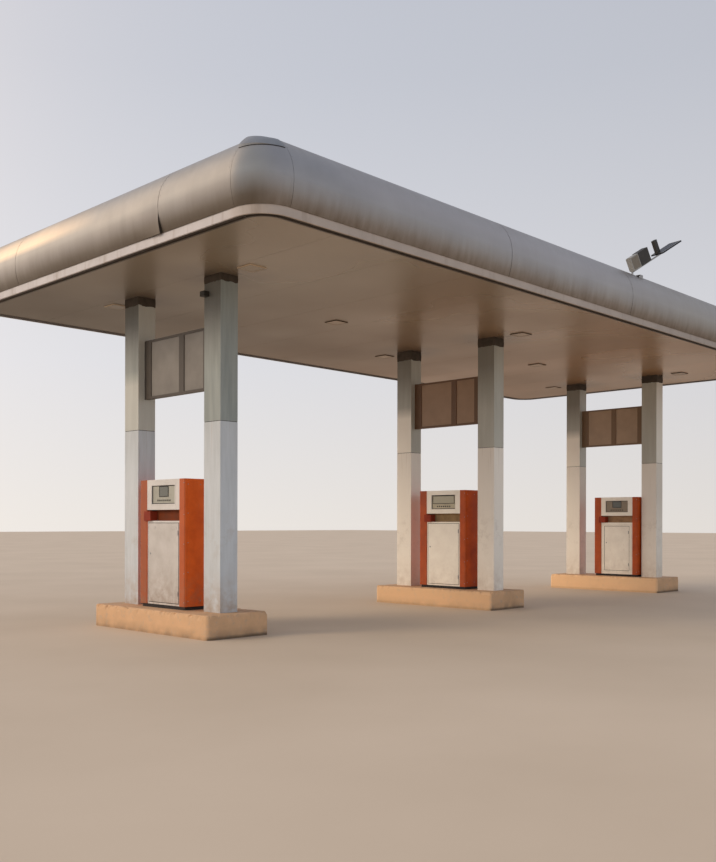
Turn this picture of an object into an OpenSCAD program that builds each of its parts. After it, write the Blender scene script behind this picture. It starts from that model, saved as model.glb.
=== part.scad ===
// Filling station canopy: a flat roof with a bullnose fascia on three pairs of
// cased columns. Each pair stands on its own raised island with a dispenser
// between the columns and a sign board above it. Millimetres, +Z up, the long
// side along X, the front towards -Y, the floor at z = 0.

/* [Canopy] */
// Length over the lip trim, along X
canopy_l = 15690; // [15000:10:16500]
// Width over the lip trim, along Y
canopy_w = 7390; // [6900:10:7700]
// Height from the floor to the underside of the lip trim
clear_h = 5000; // [4600:10:5400]
// Plan radius of the lip trim at the corners
corner_r = 430; // [380:5:520]
// Height of the lip trim
lip_h = 105; // [80:1:130]
// Sheet thickness of the fascia and the lip trim
skin_t = 4; // [3:0.5:6]
// Joint between two fascia panels
joint = 8; // [4:1:14]

/* [Fascia profile] */
// How far the fascia bulges past the lip trim
bulge = 70; // [40:1:100]
// Height of the widest point of the bulge above the lip underside
bulge_z = 420; // [360:5:470]
// Radius of the upper curve
upper_r = 600; // [540:5:660]
// Angle of the upper curve from the widest point to the top edge
upper_turn = 54; // [48:1:60]
// How far the bottom edge of the fascia stands proud of the lip trim
fascia_proud = 10; // [0:1:20]
// Length of the first panel of the long sides, from the corner
first_panel = 4180; // [3600:10:4400]
// Length of the other panels of the long sides
panel_l = 3500; // [3000:10:3560]
// Distance of the joint in the short sides from their middle
end_joint = 1850; // [600:10:2400]

/* [Columns] */
// Distance between two column pairs, along X
pitch_x = 6300; // [5600:10:6600]
// Distance between the two columns of a pair, along Y
pitch_y = 2020; // [1800:10:2300]
// Outside width of the column casing, along X
casing_w = 300; // [286:2:380]
// Outside length of the column casing, along Y
casing_l = 370; // [316:2:400]
// Sheet thickness of the column casing
casing_t = 4; // [3:0.5:6]
// Height of the joint between the lower and the upper casing
casing_joint_z = 2975; // [2400:5:3300]
// Open gap between the casing and the lip underside
head_gap = 40; // [30:5:140]
// Width of the square steel post inside the casing
post_w = 200; // [160:10:220]
// Wall of the steel post
post_t = 8; // [6:1:12]

/* [Islands] */
// Width of an island, along X
island_w = 1070; // [900:10:1300]
// Height of an island
island_h = 330; // [250:5:350]
// Island in front of the front column casing
island_front = 230; // [100:10:400]
// Island behind the back column casing
island_back = 230; // [100:10:400]
// Radius of the vertical island corners
island_r = 60; // [30:5:120]
// Chamfer of the upper island edge
island_chamfer = 20; // [10:1:30]

/* [Sign boards] */
// Underside of the sign board above the floor
board_z = 3450; // [3200:10:3600]
// Height of the sign board
board_h = 890; // [700:10:1000]
// Depth of the sign board frame
board_d = 80; // [60:5:160]
// Width of the two end stiles
stile_w = 170; // [90:5:200]
// Width of the middle stile
mullion_w = 120; // [80:5:160]
// Place of the middle stile along the left board
left_mullion_y = -125; // [-200:5:200]
// Place of the middle stile along the middle board
middle_mullion_y = -165; // [-200:5:200]
// Place of the middle stile along the right board
right_mullion_y = -35; // [-200:5:200]
// Height of the top rail and the bottom rail
rail_h = 35; // [25:5:60]

/* [Dispensers] */
// Length of the white cabinet, along Y
cab_l = 820; // [700:10:860]
// Length of the front pillar, along Y
front_pillar_l = 130; // [100:5:160]
// Length of the back pillar, along Y
back_pillar_l = 180; // [100:5:200]
// Depth of a dispenser, along X
disp_d = 540; // [440:10:620]
// Height of a dispenser above the island
disp_h = 1870; // [1600:10:2000]
// Height of the base frame
base_h = 50; // [30:5:90]
// Height of the display head
head_h = 440; // [380:10:520]
// Height of the recess under the display head
recess_h = 160; // [120:5:240]
// Width of the window in the display head
window_w = 580; // [400:10:660]
// Height of the window in the display head
window_h = 270; // [200:5:340]
// Length of the nozzle boot at the end of the recess
boot_l = 180; // [140:10:300]
// How far a nozzle boot stands out of the recess
boot_out = 20; // [5:5:40]
// Place of the left dispenser along its island
left_disp_y = 0; // [-250:10:240]
// Place of the middle dispenser along its island
middle_disp_y = -90; // [-250:10:240]
// Place of the right dispenser along its island
right_disp_y = -250; // [-250:10:240]

/* [Roof] */
// Fall of the roof sheets towards the middle gutter, degrees
fall = 2; // [1:0.25:2.5]
// Height of the cross girders
girder_h = 300; // [240:10:320]
// Height of the purlins
purlin_h = 120; // [90:5:140]
// Number of purlins in each half of the roof
purlins = 4; // [3:1:5]
// Rib spacing of the roof sheets
rib_pitch = 250; // [200:10:333]

/* [Lights] */
// Width of a square soffit light
light_w = 280; // [220:10:400]
// Depth of a soffit light below the soffit
light_d = 14; // [10:1:30]
// Distance of the lane lights from the middle, along X
lane_light_x = 3050; // [2600:10:3300]
// Distance of the other lights from the middle line, along Y
light_y = 1680; // [1500:10:2000]

/* [Roof floodlight] */
// Position of the foot along the front edge, from the middle
flood_x = 880; // [400:10:1500]
// Turn of the arm out of the line of the edge, degrees
flood_turn = 10; // [0:1:10]
// Rise of the arm, degrees
flood_tilt = 30; // [27:1:38]
// Length of the arm
arm_l = 1420; // [1380:10:1440]
// Width of the lamp along the arm
lamp_w = 230; // [180:10:230]
// Height of the lamp and its housing above the arm
lamp_h = 245; // [200:5:280]
// Length of the solar panel along the arm
solar_l = 620; // [500:10:620]
// Width of the solar panel
solar_w = 250; // [200:10:250]

/* [Hidden] */
$fn = 48;
clear = 0.3;
hl = canopy_l / 2;
hw = canopy_w / 2;
lip_top = clear_h + lip_h;
zm = clear_h + bulge_z;
top_u = bulge - upper_r + upper_r * cos(upper_turn);
top_z = zm + upper_r * sin(upper_turn);
lower_dz = zm - lip_top;
lower_du = bulge - fascia_proud;
lower_r = (lower_du * lower_du + lower_dz * lower_dz) / (2 * lower_du);
liner_u = -300;
foot_u = -275;
liner_t = 3;
beam_out = -30;
beam_in = -130;
beam_z = clear_h + 25;
trim_t = 3;
soffit_z = clear_h + 10;
panel_z = soffit_z + trim_t;
panel_t = 4;
rail_z = panel_z + panel_t;
girder_z = clear_h + 80;
girder_b = 150;
girder_web = 8;
girder_fl = 12;
girder_top = girder_z + girder_h;
gutter_w = 300;
gutter_h = 110;
sheet_t = 1.2;
rib_h = 30;
purlin_b = 60;
purlin_t = 3;
col_x = [-pitch_x, 0, pitch_x];
col_y = [-pitch_y / 2, pitch_y / 2];
casing_top = clear_h - head_gap;
pair_gap = pitch_y - casing_l;
pair_clear = 40;
island_y0 = -pitch_y / 2 - casing_l / 2 - island_front;
island_y1 = pitch_y / 2 + casing_l / 2 + island_back;

// Plan outline of the canopy, u outside the lip face
module plan(u) {
  r = corner_r + u;
  square([2 * (hl + u), 2 * (hw - corner_r)], center = true);
  square([2 * (hl - corner_r), 2 * (hw + u)], center = true);
  for (x = [-1, 1], y = [-1, 1])
    translate([x * (hl - corner_r), y * (hw - corner_r)]) circle(r, $fn = 96);
}

// Closed ring between two offsets from the lip face
module ring(u1, u0, z, h) {
  translate([0, 0, z]) linear_extrude(h) difference() {
    plan(u1);
    plan(u0);
  }
}

// Puts a profile side on one side of the canopy, length along local Y
module on_side(a, reach) {
  rotate([0, 0, a]) translate([reach, 0, 0]) children();
}

// Runs a profile along local Y from y0 to y1
module run(y0, y1) {
  translate([0, y1, 0]) rotate([90, 0, 0]) linear_extrude(y1 - y0) children();
}

// Solid area behind a curve of the fascia, k is the inward offset
module fascia_area(k) {
  intersection() {
    translate([bulge - lower_r, zm]) circle(lower_r - k, $fn = 360);
    translate([liner_u, lip_top]) square([bulge - liner_u, lower_dz]);
  }
  intersection() {
    translate([bulge - upper_r, zm]) circle(upper_r - k, $fn = 240);
    translate([liner_u, zm]) square([bulge - liner_u, top_z - zm]);
  }
}

// Section of the fascia skin with its top and bottom returns
module fascia_section() {
  difference() {
    fascia_area(0);
    intersection() {
      fascia_area(skin_t);
      translate([liner_u, lip_top + skin_t])
        square([bulge - liner_u, top_z - lip_top - 2 * skin_t]);
    }
    translate([liner_u - 1, lip_top - 1]) square([beam_in - liner_u + 1, lower_dz]);
  }
  translate([liner_u, top_z - 45]) square([skin_t, 45]);
}

// Section of a fascia rib between the liner and the skin
module rib_section() {
  difference() {
    intersection() {
      fascia_area(skin_t + clear);
      translate([liner_u + skin_t + clear, lip_top + skin_t])
        square([bulge - liner_u, top_z - lip_top - 2 * skin_t - clear]);
    }
    translate([liner_u - 1, lip_top]) square([beam_in - liner_u + 1, 300]);
    translate([-120, zm - 60]) circle(80, $fn = 48);
  }
}

module lip_section() {
  translate([-skin_t, clear_h]) square([skin_t, lip_h]);
  translate([-24, clear_h]) square([24, skin_t]);
  translate([beam_out, lip_top - skin_t]) square([-beam_out, skin_t]);
}

module around(n) {
  for (a = [0, 180]) on_side(a, hl) run(-(hw - corner_r), hw - corner_r) children(0);
  for (a = [90, -90]) on_side(a, hw) run(-(hl - corner_r), hl - corner_r) children(0);
  for (x = [-1, 1], y = [-1, 1])
    translate([x * (hl - corner_r), y * (hw - corner_r), 0])
      rotate([0, 0, x * y > 0 ? (x > 0 ? 0 : 180) : (x > 0 ? -90 : 90)])
        rotate_extrude(angle = 90, $fn = 96) translate([corner_r, 0]) children(0);
}

module island(i) {
  x = col_x[i];
  w = island_w / 2;
  r = island_r;
  difference() {
    translate([x, 0, 0]) linear_extrude(island_h) union() {
      translate([-w + r, island_y0]) square([island_w - 2 * r, island_y1 - island_y0]);
      translate([-w, island_y0 + r]) square([island_w, island_y1 - island_y0 - 2 * r]);
      for (s = [-1, 1], y = [island_y0 + r, island_y1 - r])
        translate([s * (w - r), y]) circle(r);
    }
    for (s = [-1, 1]) translate([x + s * w, 0, island_h]) rotate([0, 45, 0])
      cube([island_chamfer * sqrt(2), 8000, island_chamfer * sqrt(2)], center = true);
    for (y = [island_y0, island_y1]) translate([x, y, island_h]) rotate([45, 0, 0])
      cube([2000, island_chamfer * sqrt(2), island_chamfer * sqrt(2)], center = true);
  }
}

module left_island() color("#a2835c") island(0);
module middle_island() color("#a2835c") island(1);
module right_island() color("#a2835c") island(2);

// Plates at the foot and the head of a post, inside the casing
plate_gap = 6;
plate_x = casing_w - 2 * casing_t - 2 * plate_gap;
plate_y = casing_l - 2 * casing_t - 2 * plate_gap;

// Square steel posts with a base plate and a head plate
module column_posts() color("#2b2a2c") for (x = col_x, y = col_y) {
  difference() {
    translate([x - post_w / 2, y - post_w / 2, island_h]) cube([post_w, post_w, girder_z - island_h]);
    translate([x - post_w / 2 + post_t, y - post_w / 2 + post_t, island_h - 1])
      cube([post_w - 2 * post_t, post_w - 2 * post_t, girder_z - island_h + 2]);
  }
  for (z = [island_h, girder_z - 15]) difference() {
    translate([x - plate_x / 2, y - plate_y / 2, z]) cube([plate_x, plate_y, z == island_h ? 20 : 15]);
    translate([x - post_w / 2 + post_t, y - post_w / 2 + post_t, z - 1])
      cube([post_w - 2 * post_t, post_w - 2 * post_t, 30]);
  }
}

module casings(y, z0, z1) {
  for (x = col_x) difference() {
    translate([x - casing_w / 2, y - casing_l / 2, z0]) cube([casing_w, casing_l, z1 - z0]);
    translate([x - casing_w / 2 + casing_t, y - casing_l / 2 + casing_t, z0 - 1])
      cube([casing_w - 2 * casing_t, casing_l - 2 * casing_t, z1 - z0 + 2]);
  }
}

module front_lower_casings() color("#d8dbde") casings(col_y[0], island_h, casing_joint_z);
module front_upper_casings() color("#b9bdc2") casings(col_y[0], casing_joint_z + joint, casing_top);
module back_lower_casings() color("#d8dbde") casings(col_y[1], island_h, casing_joint_z);
module back_upper_casings() color("#b9bdc2") casings(col_y[1], casing_joint_z + joint, casing_top);

// Spacers between the post and its casing, behind the joint and at the top
module casing_frames() color("#1b1a1c") for (x = col_x, y = col_y, z = [casing_joint_z - 30, casing_top - 70])
  difference() {
    w = casing_w - 2 * casing_t;
    l = casing_l - 2 * casing_t;
    translate([x - w / 2, y - l / 2, z]) cube([w, l, 60]);
    translate([x - post_w / 2, y - post_w / 2, z - 1]) cube([post_w, post_w, 62]);
  }

// Edges of the two panels of each sign board, along Y
mullion_y = [left_mullion_y, middle_mullion_y, right_mullion_y];
panel_edges = [for (m = mullion_y)
  [[stile_w - pair_gap / 2, m - mullion_w / 2], [m + mullion_w / 2, pair_gap / 2 - stile_w]]];

module board_fields(d) {
  for (i = [0:2], e = panel_edges[i]) translate([col_x[i] - d / 2, e[0], board_z + rail_h])
    cube([d, e[1] - e[0], board_h - 2 * rail_h]);
}

// Frames of the sign boards between the columns of each pair
module board_frames() color("#3f2a22") difference() {
  for (x = col_x) translate([x - board_d / 2, -pair_gap / 2, board_z]) cube([board_d, pair_gap, board_h]);
  board_fields(2 * board_d);
}

module board_panels() color("#8b817c") board_fields(board_d - 24);

disp_z = island_h + base_h;
cab_h = disp_h - base_h - head_h - recess_h;
head_z = disp_z + cab_h + recess_h;
window_z = head_z + head_h / 2;
window_in = 30;
screen_t = 15;
// Cabinet middles, held clear of the casings at both ends
cab_y = [for (y = [left_disp_y, middle_disp_y, right_disp_y])
  max(pair_clear + front_pillar_l + cab_l / 2 - pair_gap / 2,
    min(pair_gap / 2 - pair_clear - back_pillar_l - cab_l / 2, y))];

module at_dispenser(i) {
  translate([col_x[i], cab_y[i], 0]) children();
}

module at_dispensers() {
  for (i = [0:2]) at_dispenser(i) children();
}

module dispenser_bases() color("#232224") at_dispensers()
  translate([-disp_d / 2 + 30, -cab_l / 2 - front_pillar_l + 30, island_h])
    cube([disp_d - 60, cab_l + front_pillar_l + back_pillar_l - 60, base_h]);

// Pillar with rounded outer corners, its inner face at y = 0
module pillar(l) {
  translate([0, 0, disp_z]) linear_extrude(disp_h - base_h) union() {
    translate([-disp_d / 2, 0]) square([disp_d, l - 25]);
    translate([-disp_d / 2 + 25, 0]) square([disp_d - 50, l]);
    for (k = [-1, 1]) translate([k * (disp_d / 2 - 25), l - 25]) circle(25);
  }
}

module dispenser_pillars() color("#c0501c") at_dispensers() {
  translate([0, cab_l / 2, 0]) pillar(back_pillar_l);
  translate([0, -cab_l / 2, 0]) mirror([0, 1, 0]) pillar(front_pillar_l);
}

module dispenser_cabinets() color("#e6e2da") at_dispensers()
  translate([-disp_d / 2 + 15, -cab_l / 2, disp_z]) cube([disp_d - 30, cab_l, cab_h]);

module dispenser_recesses() color("#4a1712") at_dispensers()
  translate([-disp_d / 2 + 95, -cab_l / 2, disp_z + cab_h]) cube([disp_d - 190, cab_l, recess_h]);

module dispenser_heads() color("#ece8dd") at_dispensers() difference() {
  translate([-disp_d / 2 + 5, -cab_l / 2, head_z]) cube([disp_d - 10, cab_l, head_h]);
  for (s = [-1, 1]) translate([s * (disp_d / 2 - 5), 0, window_z])
    cube([2 * window_in, window_w, window_h], center = true);
}

// Face plates at the back of the head windows
module dispenser_screens() color("#a7aaa2") at_dispensers() for (s = [-1, 1])
  translate([s * (disp_d / 2 - 5 - window_in + screen_t / 2), 0, window_z])
    cube([screen_t, window_w, window_h], center = true);

display_w = [210, window_w - 70, 210];
display_h = window_h / 2;
display_t = 5;
module dispenser_displays() color("#2c3a33") for (i = [0:2], s = [-1, 1]) at_dispenser(i)
  translate([s * (disp_d / 2 - 5 - window_in + screen_t + display_t / 2), 0, window_z + window_h / 6])
    cube([display_t, display_w[i], display_h], center = true);

// Boots at one end of each recess, in front of the pillar
module nozzle_boots() color("#4f120f") at_dispensers() for (a = [0, 180]) rotate([0, 0, a])
  translate([-disp_d / 2, cab_l / 2, disp_z + cab_h]) linear_extrude(recess_h - 20)
    polygon([[95, 0], [0, 0], [0, 60], [-boot_out, 45], [-boot_out, 60 - boot_l], [95, 45 - boot_l]]);

module lip_trim() color("#d9cdc0") around(0) lip_section();

// Dark edge beam seen in the slot behind the lip trim
module edge_beam() color("#1d1c1e") difference() {
  ring(beam_out, beam_in, beam_z, lip_top - beam_z);
  ring(beam_out - 6, beam_in - 1, beam_z + 6, lip_top - beam_z - 12);
}

module soffit_trim() color("#4a403c") {
  ring(beam_in, beam_in - trim_t, soffit_z, 30);
  ring(beam_in - trim_t, beam_in - 30, soffit_z, trim_t);
}

soffit_n = 12;
module soffit_panels() color("#8a7c74") difference() {
  translate([0, 0, panel_z]) linear_extrude(panel_t) difference() {
    plan(beam_in - trim_t);
    for (i = [1:soffit_n - 1])
      translate([-hl + i * canopy_l / soffit_n - 1.5, -hw]) square([3, canopy_w]);
  }
  for (x = col_x, y = col_y)
    translate([x - post_w / 2 - 3, y - post_w / 2 - 3, clear_h]) cube([post_w + 6, post_w + 6, 60]);
}

rail_y0 = pitch_y / 2 + 450;
rail_y1 = hw + beam_in - 300;
rail_ys = [pitch_y / 4, rail_y0, (rail_y0 + rail_y1) / 2, rail_y1];
module soffit_rails() color("#77777a") for (s = [-1, 1], y = rail_ys)
  translate([-hl - beam_in, s * y - 20, rail_z]) cube([canopy_l + 2 * beam_in, 40, girder_z - rail_z]);

light_pos = [[-lane_light_x, 0], [lane_light_x, 0], [0, light_y], [0, -light_y],
  [-pitch_x, light_y], [-pitch_x, -light_y], [pitch_x, light_y], [pitch_x, -light_y]];
light_rim = 18;

module soffit_lights() color("#5b5048") for (p = light_pos) difference() {
  translate([p[0] - light_w / 2, p[1] - light_w / 2, panel_z - light_d]) cube([light_w, light_w, light_d]);
  translate([p[0] - light_w / 2 + light_rim, p[1] - light_w / 2 + light_rim, panel_z - light_d - 1])
    cube([light_w - 2 * light_rim, light_w - 2 * light_rim, light_d - 3]);
}

module light_lenses() color("#8f8270") for (p = light_pos)
  translate([p[0] - light_w / 2 + light_rim, p[1] - light_w / 2 + light_rim, panel_z - light_d + 2])
    cube([light_w - 2 * light_rim, light_w - 2 * light_rim, light_d - 6]);

// Cross girders over the column pairs
module cross_girders() color("#6d6f72") for (x = col_x)
  translate([x, hw + beam_in, 0]) rotate([90, 0, 0]) linear_extrude(canopy_w + 2 * beam_in) union() {
    translate([-girder_b / 2, girder_z]) square([girder_b, girder_fl]);
    translate([-girder_web / 2, girder_z]) square([girder_web, girder_h]);
    translate([-girder_b / 2, girder_top - girder_fl]) square([girder_b, girder_fl]);
  }

sheet_y0 = gutter_w / 2 - 30;
sheet_y1 = hw + liner_u - liner_t - 5;
packer_min = 12;

function packer_h(y) = packer_min + y * tan(fall);
function purlin_y(i) = gutter_w / 2 + 60 + i * (sheet_y1 - gutter_w / 2 - 160) / (purlins - 1);

module half_roof() {
  for (s = [0, 180]) rotate([0, 0, s]) children();
}

// Packers set the fall of the purlins on the level girders
module purlin_packers() color("#5f6164") half_roof() for (x = col_x, i = [0:purlins - 1]) {
  y = purlin_y(i);
  translate([x - 45, 0, 0]) rotate([90, 0, 90]) linear_extrude(90)
    polygon([[y - 30, girder_top], [y + 30, girder_top],
      [y + 30, girder_top + packer_h(y + 30)], [y - 30, girder_top + packer_h(y - 30)]]);
}

module in_fall() {
  translate([0, 0, girder_top + packer_min]) rotate([fall, 0, 0]) children();
}

module roof_purlins() color("#8d9093") half_roof() in_fall() for (i = [0:purlins - 1]) {
  y = purlin_y(i) / cos(fall);
  translate([-hl - beam_in + 180, y - purlin_b / 2, 0]) rotate([90, 0, 90])
    linear_extrude(canopy_l + 2 * beam_in - 360) union() {
      square([purlin_b, purlin_t]);
      square([purlin_t, purlin_h]);
      translate([0, purlin_h - purlin_t]) square([purlin_b, purlin_t]);
    }
}

sheet_l = canopy_l + 2 * liner_u - 2 * liner_t - 10;
ribs = floor((sheet_l - 60) / rib_pitch);
// Zigzag outline of the ribbed sheet, lower line or upper line
function rib_line(k) = [for (i = [0:ribs - 1]) each [
  [i * rib_pitch + 40, k], [i * rib_pitch + 60, rib_h + k],
  [i * rib_pitch + 90, rib_h + k], [i * rib_pitch + 110, k]]];
function back_line(v) = [for (i = [len(v) - 1:-1:0]) v[i]];

module roof_sheets() color("#a9adb0") half_roof() in_fall()
  translate([-ribs * rib_pitch / 2, sheet_y1 / cos(fall), purlin_h]) rotate([90, 0, 0])
    linear_extrude((sheet_y1 - sheet_y0) / cos(fall))
      polygon(concat([[0, 0]], rib_line(0), [[ribs * rib_pitch, 0], [ribs * rib_pitch, sheet_t]],
        back_line(rib_line(sheet_t)), [[0, sheet_t]]));

module roof_gutter() color("#7f8386") translate([-sheet_l / 2 + 100, 0, 0]) difference() {
  translate([0, -gutter_w / 2, girder_top]) cube([sheet_l - 200, gutter_w, gutter_h]);
  translate([2, -gutter_w / 2 + 2, girder_top + 2]) cube([sheet_l - 204, gutter_w - 4, gutter_h]);
}

module parapet_liner() color("#9b9ea1")
  ring(liner_u, liner_u - liner_t, girder_top, top_z - girder_top - skin_t);

// Form plates that hold the fascia skin to its curve
rib_n = 12;
module fascia_ribs() color("#6d6f72") {
  for (a = [90, -90], i = [0:rib_n]) on_side(a, hw) {
    y = -(hl - corner_r - 120) + i * 2 * (hl - corner_r - 120) / rib_n;
    run(y - 3, y + 3) rib_section();
  }
  for (a = [0, 180], i = [0:5]) on_side(a, hl) {
    y = -(hw - corner_r - 120) + i * 2 * (hw - corner_r - 120) / 5;
    run(y - 3, y + 3) rib_section();
  }
}

long_end = hl - corner_r;
long_cuts = [-long_end + first_panel, -long_end + first_panel + panel_l,
  -long_end + first_panel + 2 * panel_l];
long_steps = concat([-long_end], long_cuts, [long_end]);
short_end = hw - corner_r;
short_steps = [-short_end, -end_joint, end_joint, short_end];

module long_fascia() {
  for (i = [0:len(long_steps) - 2])
    run(long_steps[i] + joint / 2, long_steps[i + 1] - joint / 2) fascia_section();
}

module short_fascia() {
  for (i = [0:len(short_steps) - 2])
    run(short_steps[i] + joint / 2, short_steps[i + 1] - joint / 2) fascia_section();
}

module front_fascia() color("#8b8f94") on_side(-90, hw) long_fascia();
module back_fascia() color("#8b8f94") on_side(90, hw) long_fascia();
module left_fascia() color("#8b8f94") on_side(180, hl) short_fascia();
module right_fascia() color("#8b8f94") on_side(0, hl) short_fascia();

module corner_fascias() color("#8b8f94") for (x = [-1, 1], y = [-1, 1])
  translate([x * long_end, y * short_end, 0])
    rotate([0, 0, x * y > 0 ? (x > 0 ? 0 : 180) : (x > 0 ? -90 : 90)])
      rotate_extrude(angle = 90, $fn = 96) translate([corner_r, 0]) fascia_section();

// Floodlight with its own solar panel on an arm above the front top edge
foot_y = -hw - foot_u;
hook_u = -100;
hook_t = 6;
// Height of the curve under the inner face of the hook, below the top edge
hook_z = zm + sqrt(pow(upper_r, 2) - pow(hook_u - hook_t - bulge + upper_r, 2)) - top_z + clear;
module at_foot() {
  translate([flood_x, foot_y, top_z]) children();
}

// Frame of the arm: x along the arm, z = 0 on its top face
module on_arm() {
  at_foot() rotate([0, 0, -flood_turn]) translate([0, 0, 100]) rotate([0, -flood_tilt, 0]) children();
}

module flood_bracket() color("#6f7173") union() {
  at_foot() {
    translate([-50, foot_u - hook_u, 0]) cube([100, hook_u - foot_u + 20, hook_t]);
    translate([-50, foot_u - hook_u, hook_z]) cube([100, hook_t, hook_t - hook_z]);
    translate([-12, -12, 0]) cube([24, 24, 84]);
  }
  on_arm() translate([-20, -12, -24]) cube([arm_l + 20, 24, 24]);
}

module flood_lamp() color("#8d8f8c") on_arm() translate([-30, -70, 0]) cube([lamp_w, 90, lamp_h]);

// Driver housing behind the lamp and the sensor box on the solar panel
module flood_boxes() color("#26261f") on_arm() {
  translate([lamp_w - 10, -60, 0]) cube([300, 120, lamp_h]);
  translate([arm_l - solar_l - 10, -30, 25]) cube([90, 60, 240]);
}

module flood_panel() color("#15171c") on_arm()
  translate([arm_l - solar_l, -solar_w / 2, 0]) cube([solar_l, solar_w, 25]);

module column_lamp() color("#1b1b1d")
  translate([-pitch_x - casing_w / 2 - 90, -pitch_y / 2 + 70, clear_h - 280]) cube([90, 100, 70]);

left_island();
middle_island();
right_island();
column_posts();
front_lower_casings();
front_upper_casings();
back_lower_casings();
back_upper_casings();
casing_frames();
board_frames();
board_panels();
dispenser_bases();
dispenser_pillars();
dispenser_cabinets();
dispenser_recesses();
dispenser_heads();
dispenser_screens();
dispenser_displays();
nozzle_boots();
lip_trim();
edge_beam();
soffit_trim();
soffit_panels();
soffit_rails();
soffit_lights();
light_lenses();
cross_girders();
purlin_packers();
roof_purlins();
roof_sheets();
roof_gutter();
parapet_liner();
fascia_ribs();
front_fascia();
back_fascia();
left_fascia();
right_fascia();
corner_fascias();
flood_bracket();
flood_lamp();
flood_boxes();
flood_panel();
column_lamp();
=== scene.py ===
# %% [markdown]
# # A filling station canopy, dressed for a picture
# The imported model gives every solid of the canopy, its columns, boards, islands and dispensers.
# This lesson loads it as a fixed frame, sets up the picture, and then works through the canopy as
# a painter and a sheet metal worker would: a finish for every surface, and the rivets, doors,
# caps and worn edges that the solids leave out.

# %% Load the frame
import itertools
import math
import bmesh
import bpy
from mathutils import Matrix, Vector, noise


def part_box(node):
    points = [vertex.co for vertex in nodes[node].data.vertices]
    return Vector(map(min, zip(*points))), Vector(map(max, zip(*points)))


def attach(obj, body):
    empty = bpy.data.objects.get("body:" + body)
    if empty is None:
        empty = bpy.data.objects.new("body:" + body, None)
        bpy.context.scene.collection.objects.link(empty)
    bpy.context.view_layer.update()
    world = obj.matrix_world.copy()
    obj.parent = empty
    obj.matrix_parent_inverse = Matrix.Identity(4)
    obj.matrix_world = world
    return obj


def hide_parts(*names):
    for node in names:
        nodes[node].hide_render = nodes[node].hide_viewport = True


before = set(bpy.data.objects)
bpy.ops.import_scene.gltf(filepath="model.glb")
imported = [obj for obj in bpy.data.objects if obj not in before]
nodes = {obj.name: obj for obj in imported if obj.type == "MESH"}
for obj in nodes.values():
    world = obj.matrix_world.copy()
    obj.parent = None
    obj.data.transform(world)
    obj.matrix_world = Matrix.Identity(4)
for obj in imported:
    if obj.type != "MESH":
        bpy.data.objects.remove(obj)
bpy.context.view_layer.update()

# %% [markdown]
# ## The camera
# All upright edges are parallel in the picture, so the camera is level, 1.57 m above the floor,
# and the frame is moved upwards by a lens shift. That is how an architect's camera keeps a
# building upright. The numbers come from a least squares fit to the straight edges.

# %% Camera
FOCAL_PX, SHIFT_PX, FRAME_H = 962.5, 92.5, 862
YAW, ROLL, EYE = 44.198, 0.108, (-14.6036, -11.7609, 1.5661)
scene = bpy.context.scene
lens = bpy.data.cameras.new("camera")
lens.sensor_width = 36.0
lens.lens = FOCAL_PX / FRAME_H * lens.sensor_width
lens.shift_y = SHIFT_PX / FRAME_H
lens.clip_end = 400
camera = bpy.data.objects.new("camera", lens)
scene.collection.objects.link(camera)
turn = Matrix.Rotation(math.radians(YAW - 90), 3, "Z") @ Matrix.Rotation(math.radians(90), 3, "X")
turn = turn @ Matrix.Rotation(math.radians(ROLL), 3, "Z")
camera.matrix_world = Matrix.Translation(EYE) @ turn.to_4x4()
scene.camera = camera
scene.view_settings.view_transform = "Standard"
print("lens %.2f mm, eye at" % lens.lens, EYE)

# %% [markdown]
# ## Floor and light
# A plain pale floor and a pale dome stand in for the studio. The light of the picture is late and
# warm and comes from the left, behind the canopy. So the dome is warmer and brighter on that
# side, cooler and darker on the other, and palest near the horizon. One broad warm lamp adds the
# soft direction, and a weak cool one from the front keeps the shaded faces open. A dome alone
# would leave the silver fascia without its bright and dark bands, and a small hard lamp would
# burn a spot on it.

# %% The dome
def link_mesh(name, mesh):
    obj = bpy.data.objects.new(name, mesh)
    scene.collection.objects.link(obj)
    return obj

world = bpy.data.worlds.new("studio_dome")
scene.world = world
world.use_nodes = True
sky = world.node_tree

def sky_node(kind, inputs=(), **props):
    n = sky.nodes.new(kind)
    for k, v in props.items():
        setattr(n, k, v)
    for i, v in enumerate(inputs):
        if isinstance(v, bpy.types.NodeSocket):
            sky.links.new(v, n.inputs[i])
        elif v is not None:
            n.inputs[i].default_value = v
    return n

WARM_SIDE = Vector((-0.30, 0.86, 0.40)).normalized()
look = sky_node("ShaderNodeTexCoord").outputs["Generated"]
up = sky_node("ShaderNodeSeparateXYZ", [look]).outputs["Z"]
ramp = sky_node("ShaderNodeValToRGB", [up])
bands = ramp.color_ramp
bands.elements[0].position, bands.elements[0].color = 0.0, (0.78, 0.74, 0.70, 1)
bands.elements[1].position, bands.elements[1].color = 0.85, (0.40, 0.43, 0.51, 1)
for at, colour in ((0.16, (0.68, 0.68, 0.71, 1)), (0.42, (0.52, 0.54, 0.60, 1))):
    bands.elements.new(at).color = colour
side = sky_node("ShaderNodeVectorMath", [look, WARM_SIDE], operation="DOT_PRODUCT").outputs["Value"]
gain = sky_node("ShaderNodeMapRange", [side, -1.0, 1.0, 0.76, 1.16]).outputs[0]
lobe = sky_node("ShaderNodeMath", [side, 0.0], operation="MAXIMUM").outputs[0]
lobe = sky_node("ShaderNodeMath", [lobe, 9.0], operation="POWER").outputs[0]
dome = sky_node("ShaderNodeVectorMath", [ramp.outputs[0], None, None, gain], operation="SCALE")
glow = sky_node("ShaderNodeVectorMath", [(1.05, 0.74, 0.46), None, None, lobe], operation="SCALE")
total = sky_node("ShaderNodeVectorMath", [dome.outputs[0], glow.outputs[0]], operation="ADD")
sky.links.new(total.outputs[0], sky.nodes["Background"].inputs[0])
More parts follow.
